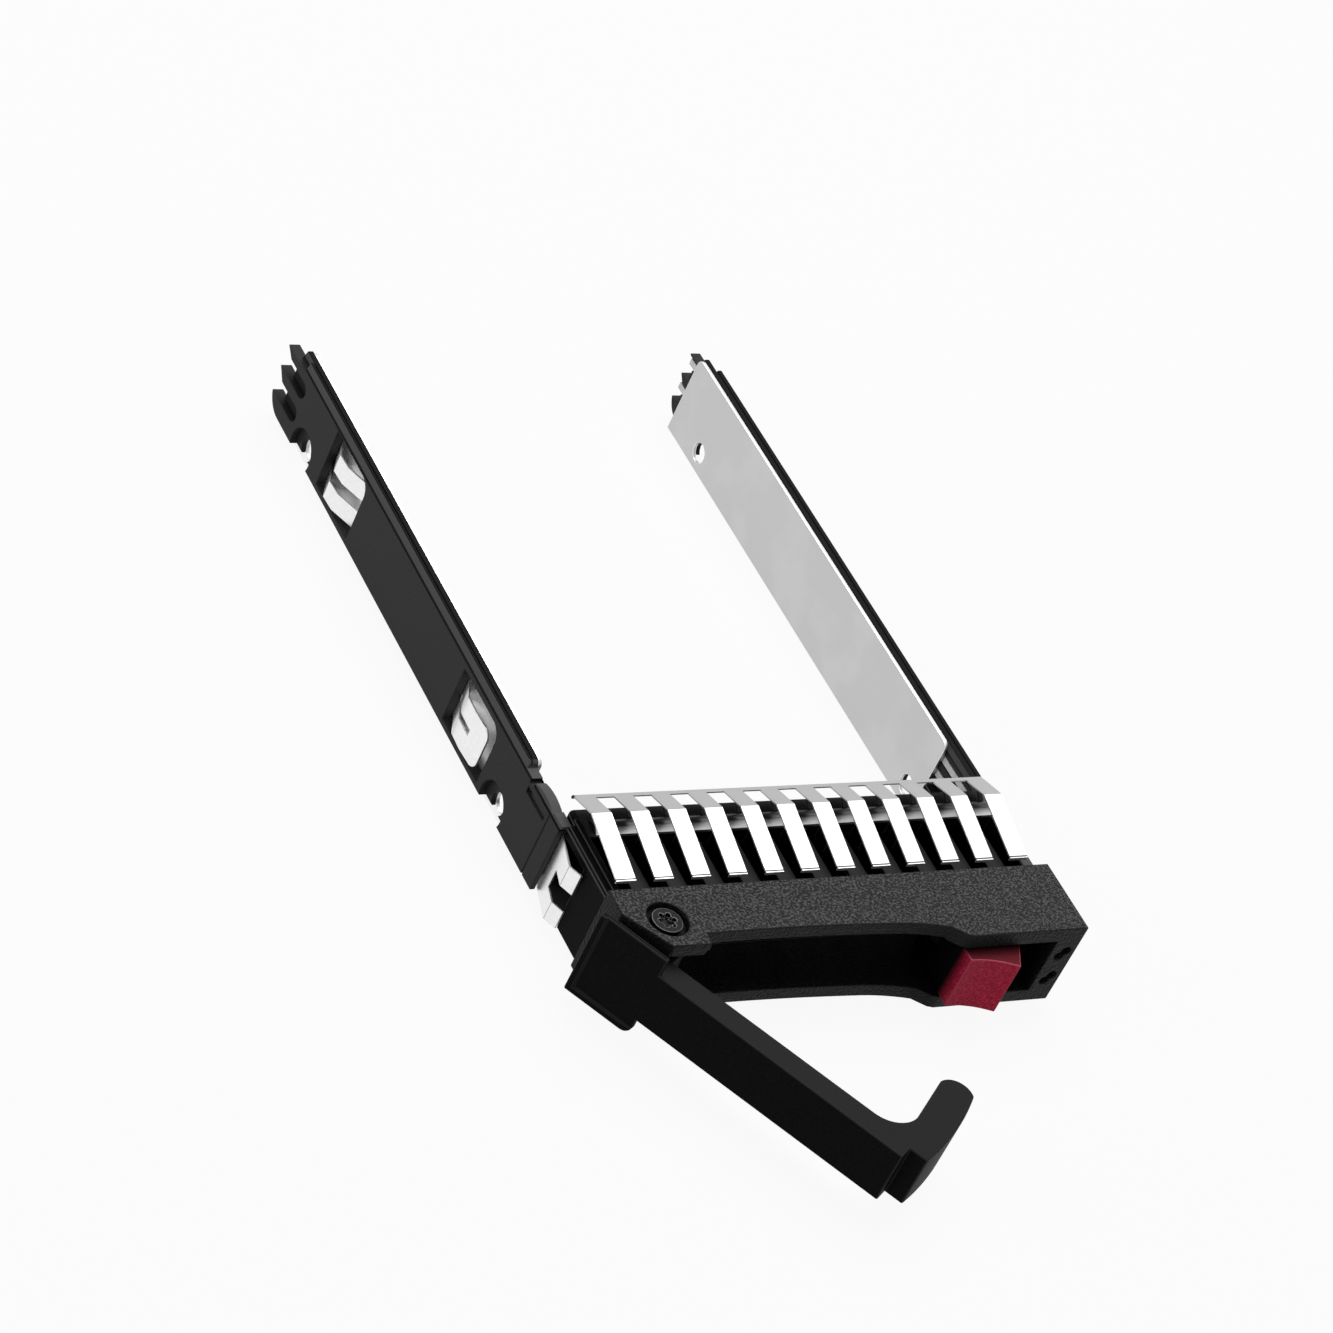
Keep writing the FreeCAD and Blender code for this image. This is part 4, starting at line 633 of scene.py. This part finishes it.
# %% [markdown]
# The other mouldings are black, and small steps of tone tell them apart. The frame's top is
# painted gray as painted light, and its edges are painted pale, a painted highlight. The lever's
# bar is a little paler on top than its block, a painted light, and its rounds are painted paler,
# a painted highlight. Each rail has a black line under its step, a painted shadow, a gray band
# that leans inwards above it and is painted lighter as painted light, and a black top. The button
# is a raspberry red with painted highlights on its rounds; it is painted dark red on top and
# black where it slides into the mouth, both painted shade.

# %% Smooth plastics
# Masks for painted light and shade: the frame's top and the lever bar's top are painted paler,
# the rail's band lighter, the line under the rail's step is a painted shadow, and the button's
# top and rear are painted shade.
FRAME_TOP_PAINTED_LIGHT = [(UP, 12.8, 12.88), (RIGHT, -34.6, -34.5)]
BAR_TOP_PAINTED_LIGHT = ["top", (DOWN, -12.1, -12.0)]
RAIL_BAND_PAINTED_LIGHT = [(UP, 11.98, 12.02)]
RAIL_STEP_PAINTED_SHADOW = [(UP, 11.72, 11.76), (DOWN, -12.02, -11.98)]
RAIL_TOP = [(UP, 13.1, 13.2)]
BUTTON_TOP_PAINTED_SHADE = ["top"]
BUTTON_REAR_PAINTED_SHADE = [(BACK, -1.8, 0.6)]

# The pale edge tones of the frame, the lever and the button are painted highlights.
finishes["frame_plastic"] = finish(
    "frame_black", base=gray(0.0015), speck=gray(0.003),
    roughness=0.5, grain_size=2600, bump=0.3, specular=0.03, lift=0.05, edge=gray(0.07),
    fades=[(gray(0.03), FRAME_TOP_PAINTED_LIGHT)])
finishes["lever_plastic"] = finish(
    "lever_black", base=gray(0.003), speck=gray(0.0055),
    roughness=0.5, grain_size=2800, bump=0.3, specular=0.03, lift=0.04, edge=gray(0.025),
    fades=[(gray(0.02), BAR_TOP_PAINTED_LIGHT)])
finishes["rail_plastic"] = finish(
    "rail_black", base=gray(0.031), speck=gray(0.037),
    roughness=0.42, grain_size=3000, bump=0.12, specular=0.05, edge=gray(0.03),
    fades=[(gray(0.09), RAIL_BAND_PAINTED_LIGHT), (BLACK, RAIL_STEP_PAINTED_SHADOW), (BLACK, RAIL_TOP)])
finishes["red_plastic"] = finish(
    "button_red", base=(0.44, 0.013, 0.045), speck=(0.72, 0.034, 0.095),
    roughness=0.5, grain_size=3000, bump=0.6, specular=0.1, lift=0.06, edge=(0.5, 0.06, 0.11),
    fades=[((0.1, 0.003, 0.009), BUTTON_TOP_PAINTED_SHADE), (BLACK, BUTTON_REAR_PAINTED_SHADE)])
print("plastics:", sorted(finishes))

# %% [markdown]
# Steel mirrors the white tent, so the springs and the fingers are nearly white, and the outer
# faces of the side plates are painted nearly white, a painted reflection of the tent. A smooth
# sheet that small shows the dark parts round it as well, and the fades paint that shade where the
# photograph has it: on the fingers' rear slopes, in a line behind their tips, on the legs and the
# band under the spine, and at the left end of the curl. The rounds of the springs are painted
# darker, a painted shade, and those of the plates paler, a painted highlight. The plates have
# faint broad clouds, and the screw is black oxide with painted highlights on its edges.

# %% Steels
# Painted shade on the fingers, and a painted reflection on the outer faces of the side plates.
FINGER_REAR_SLOPE_PAINTED_SHADE = [(BACK, 25.5, 25.65), (UP, 14.6, 14.7)]
FINGER_TIP_PAINTED_SHADE = [(BACK, 14.98, 15.0), (FORWARD, -15.22, -15.2)]
LEGS_PAINTED_SHADE = [(DOWN, -14.0, -13.8), (BACK, 25.2, 26.2)]
UNDER_SPINE_PAINTED_SHADE = [(BACK, 27.0, 27.8), (DOWN, -14.7, -14.6), (UP, 12.0, 12.5)]
CURL_END_PAINTED_SHADE = [(BACK, 30.2, 30.4), (LEFT, 35.4, 35.5)]
LEFT_PLATE_PAINTED_REFLECTION = [(LEFT, 35.9, 35.95)]
RIGHT_PLATE_PAINTED_REFLECTION = [(RIGHT, 35.9, 35.95)]

# The springs' darker rounds are a painted shade.
finishes["spring_steel"] = finish(
    "spring_bright", base=gray(0.9), speck=gray(0.94),
    roughness=0.3, grain_size=1500, bump=0.0, metallic=0.9, specular=0.5, edge=gray(0.3))
# The fingers' dark rounds and their fades are painted shade.
finishes["fingers"] = finish(
    "fingers_bright", base=gray(0.84), speck=gray(0.88),
    roughness=0.3, grain_size=1500, bump=0.0, metallic=0.7, specular=0.5, edge=gray(0.03),
    fades=[(gray(0.45), FINGER_REAR_SLOPE_PAINTED_SHADE), (gray(0.03), FINGER_TIP_PAINTED_SHADE),
           (gray(0.04), LEGS_PAINTED_SHADE), (BLACK, UNDER_SPINE_PAINTED_SHADE), (BLACK, CURL_END_PAINTED_SHADE)])
# The plates' pale rounds are a painted highlight, and their bright outer faces a painted
# reflection.
finishes["plate_steel"] = finish(
    "plate_satin", base=gray(0.56), speck=gray(0.59),
    roughness=0.4, grain_size=90, bump=0.0, metallic=1.0, specular=0.5, edge=gray(0.9),
    fades=[(gray(0.95), LEFT_PLATE_PAINTED_REFLECTION), (gray(0.95), RIGHT_PLATE_PAINTED_REFLECTION)])
for slot, name in (("pin_steel", "pin_turned"), ("spring_wire", "wire_drawn")):
    finishes[slot] = finish(
        name, base=gray(0.5), speck=gray(0.6),
        roughness=0.3, grain_size=1500, bump=0.03, metallic=1.0, specular=0.5)
# The screw's pale rounds are a painted highlight.
finishes["black_steel"] = finish(
    "screw_black", base=gray(0.001), speck=gray(0.003),
    roughness=0.25, grain_size=2500, bump=0.05, specular=0.1, edge=gray(0.2))
print("with steels:", len(finishes))

# %% [markdown]
# Only the ends of the clear light pipes show, so they are a pale gloss plastic
# rather than a see-through one. Then every CAD node and every new piece gets the
# finish of its material slot. The fingers have a finish of their own, although
# their slot is spring steel, because their fades suit no other spring.

# %% Light pipes, and a finish for every piece
finishes["clear_plastic"] = finish(
    "light_pipe", base=(0.7, 0.7, 0.68), speck=(0.8, 0.8, 0.78),
    roughness=0.15, grain_size=1200, bump=0.02)
finish_of = dict(slot_of_node, finger_strip="fingers", shade_sheet="frame_plastic", rib="frame_plastic")
for pieces in (frame["nodes"], soft):
    for name, piece in pieces.items():
        piece.data.materials.clear()
        piece.data.materials.append(finishes[finish_of[name]])
print("finishes:", sorted(finishes))
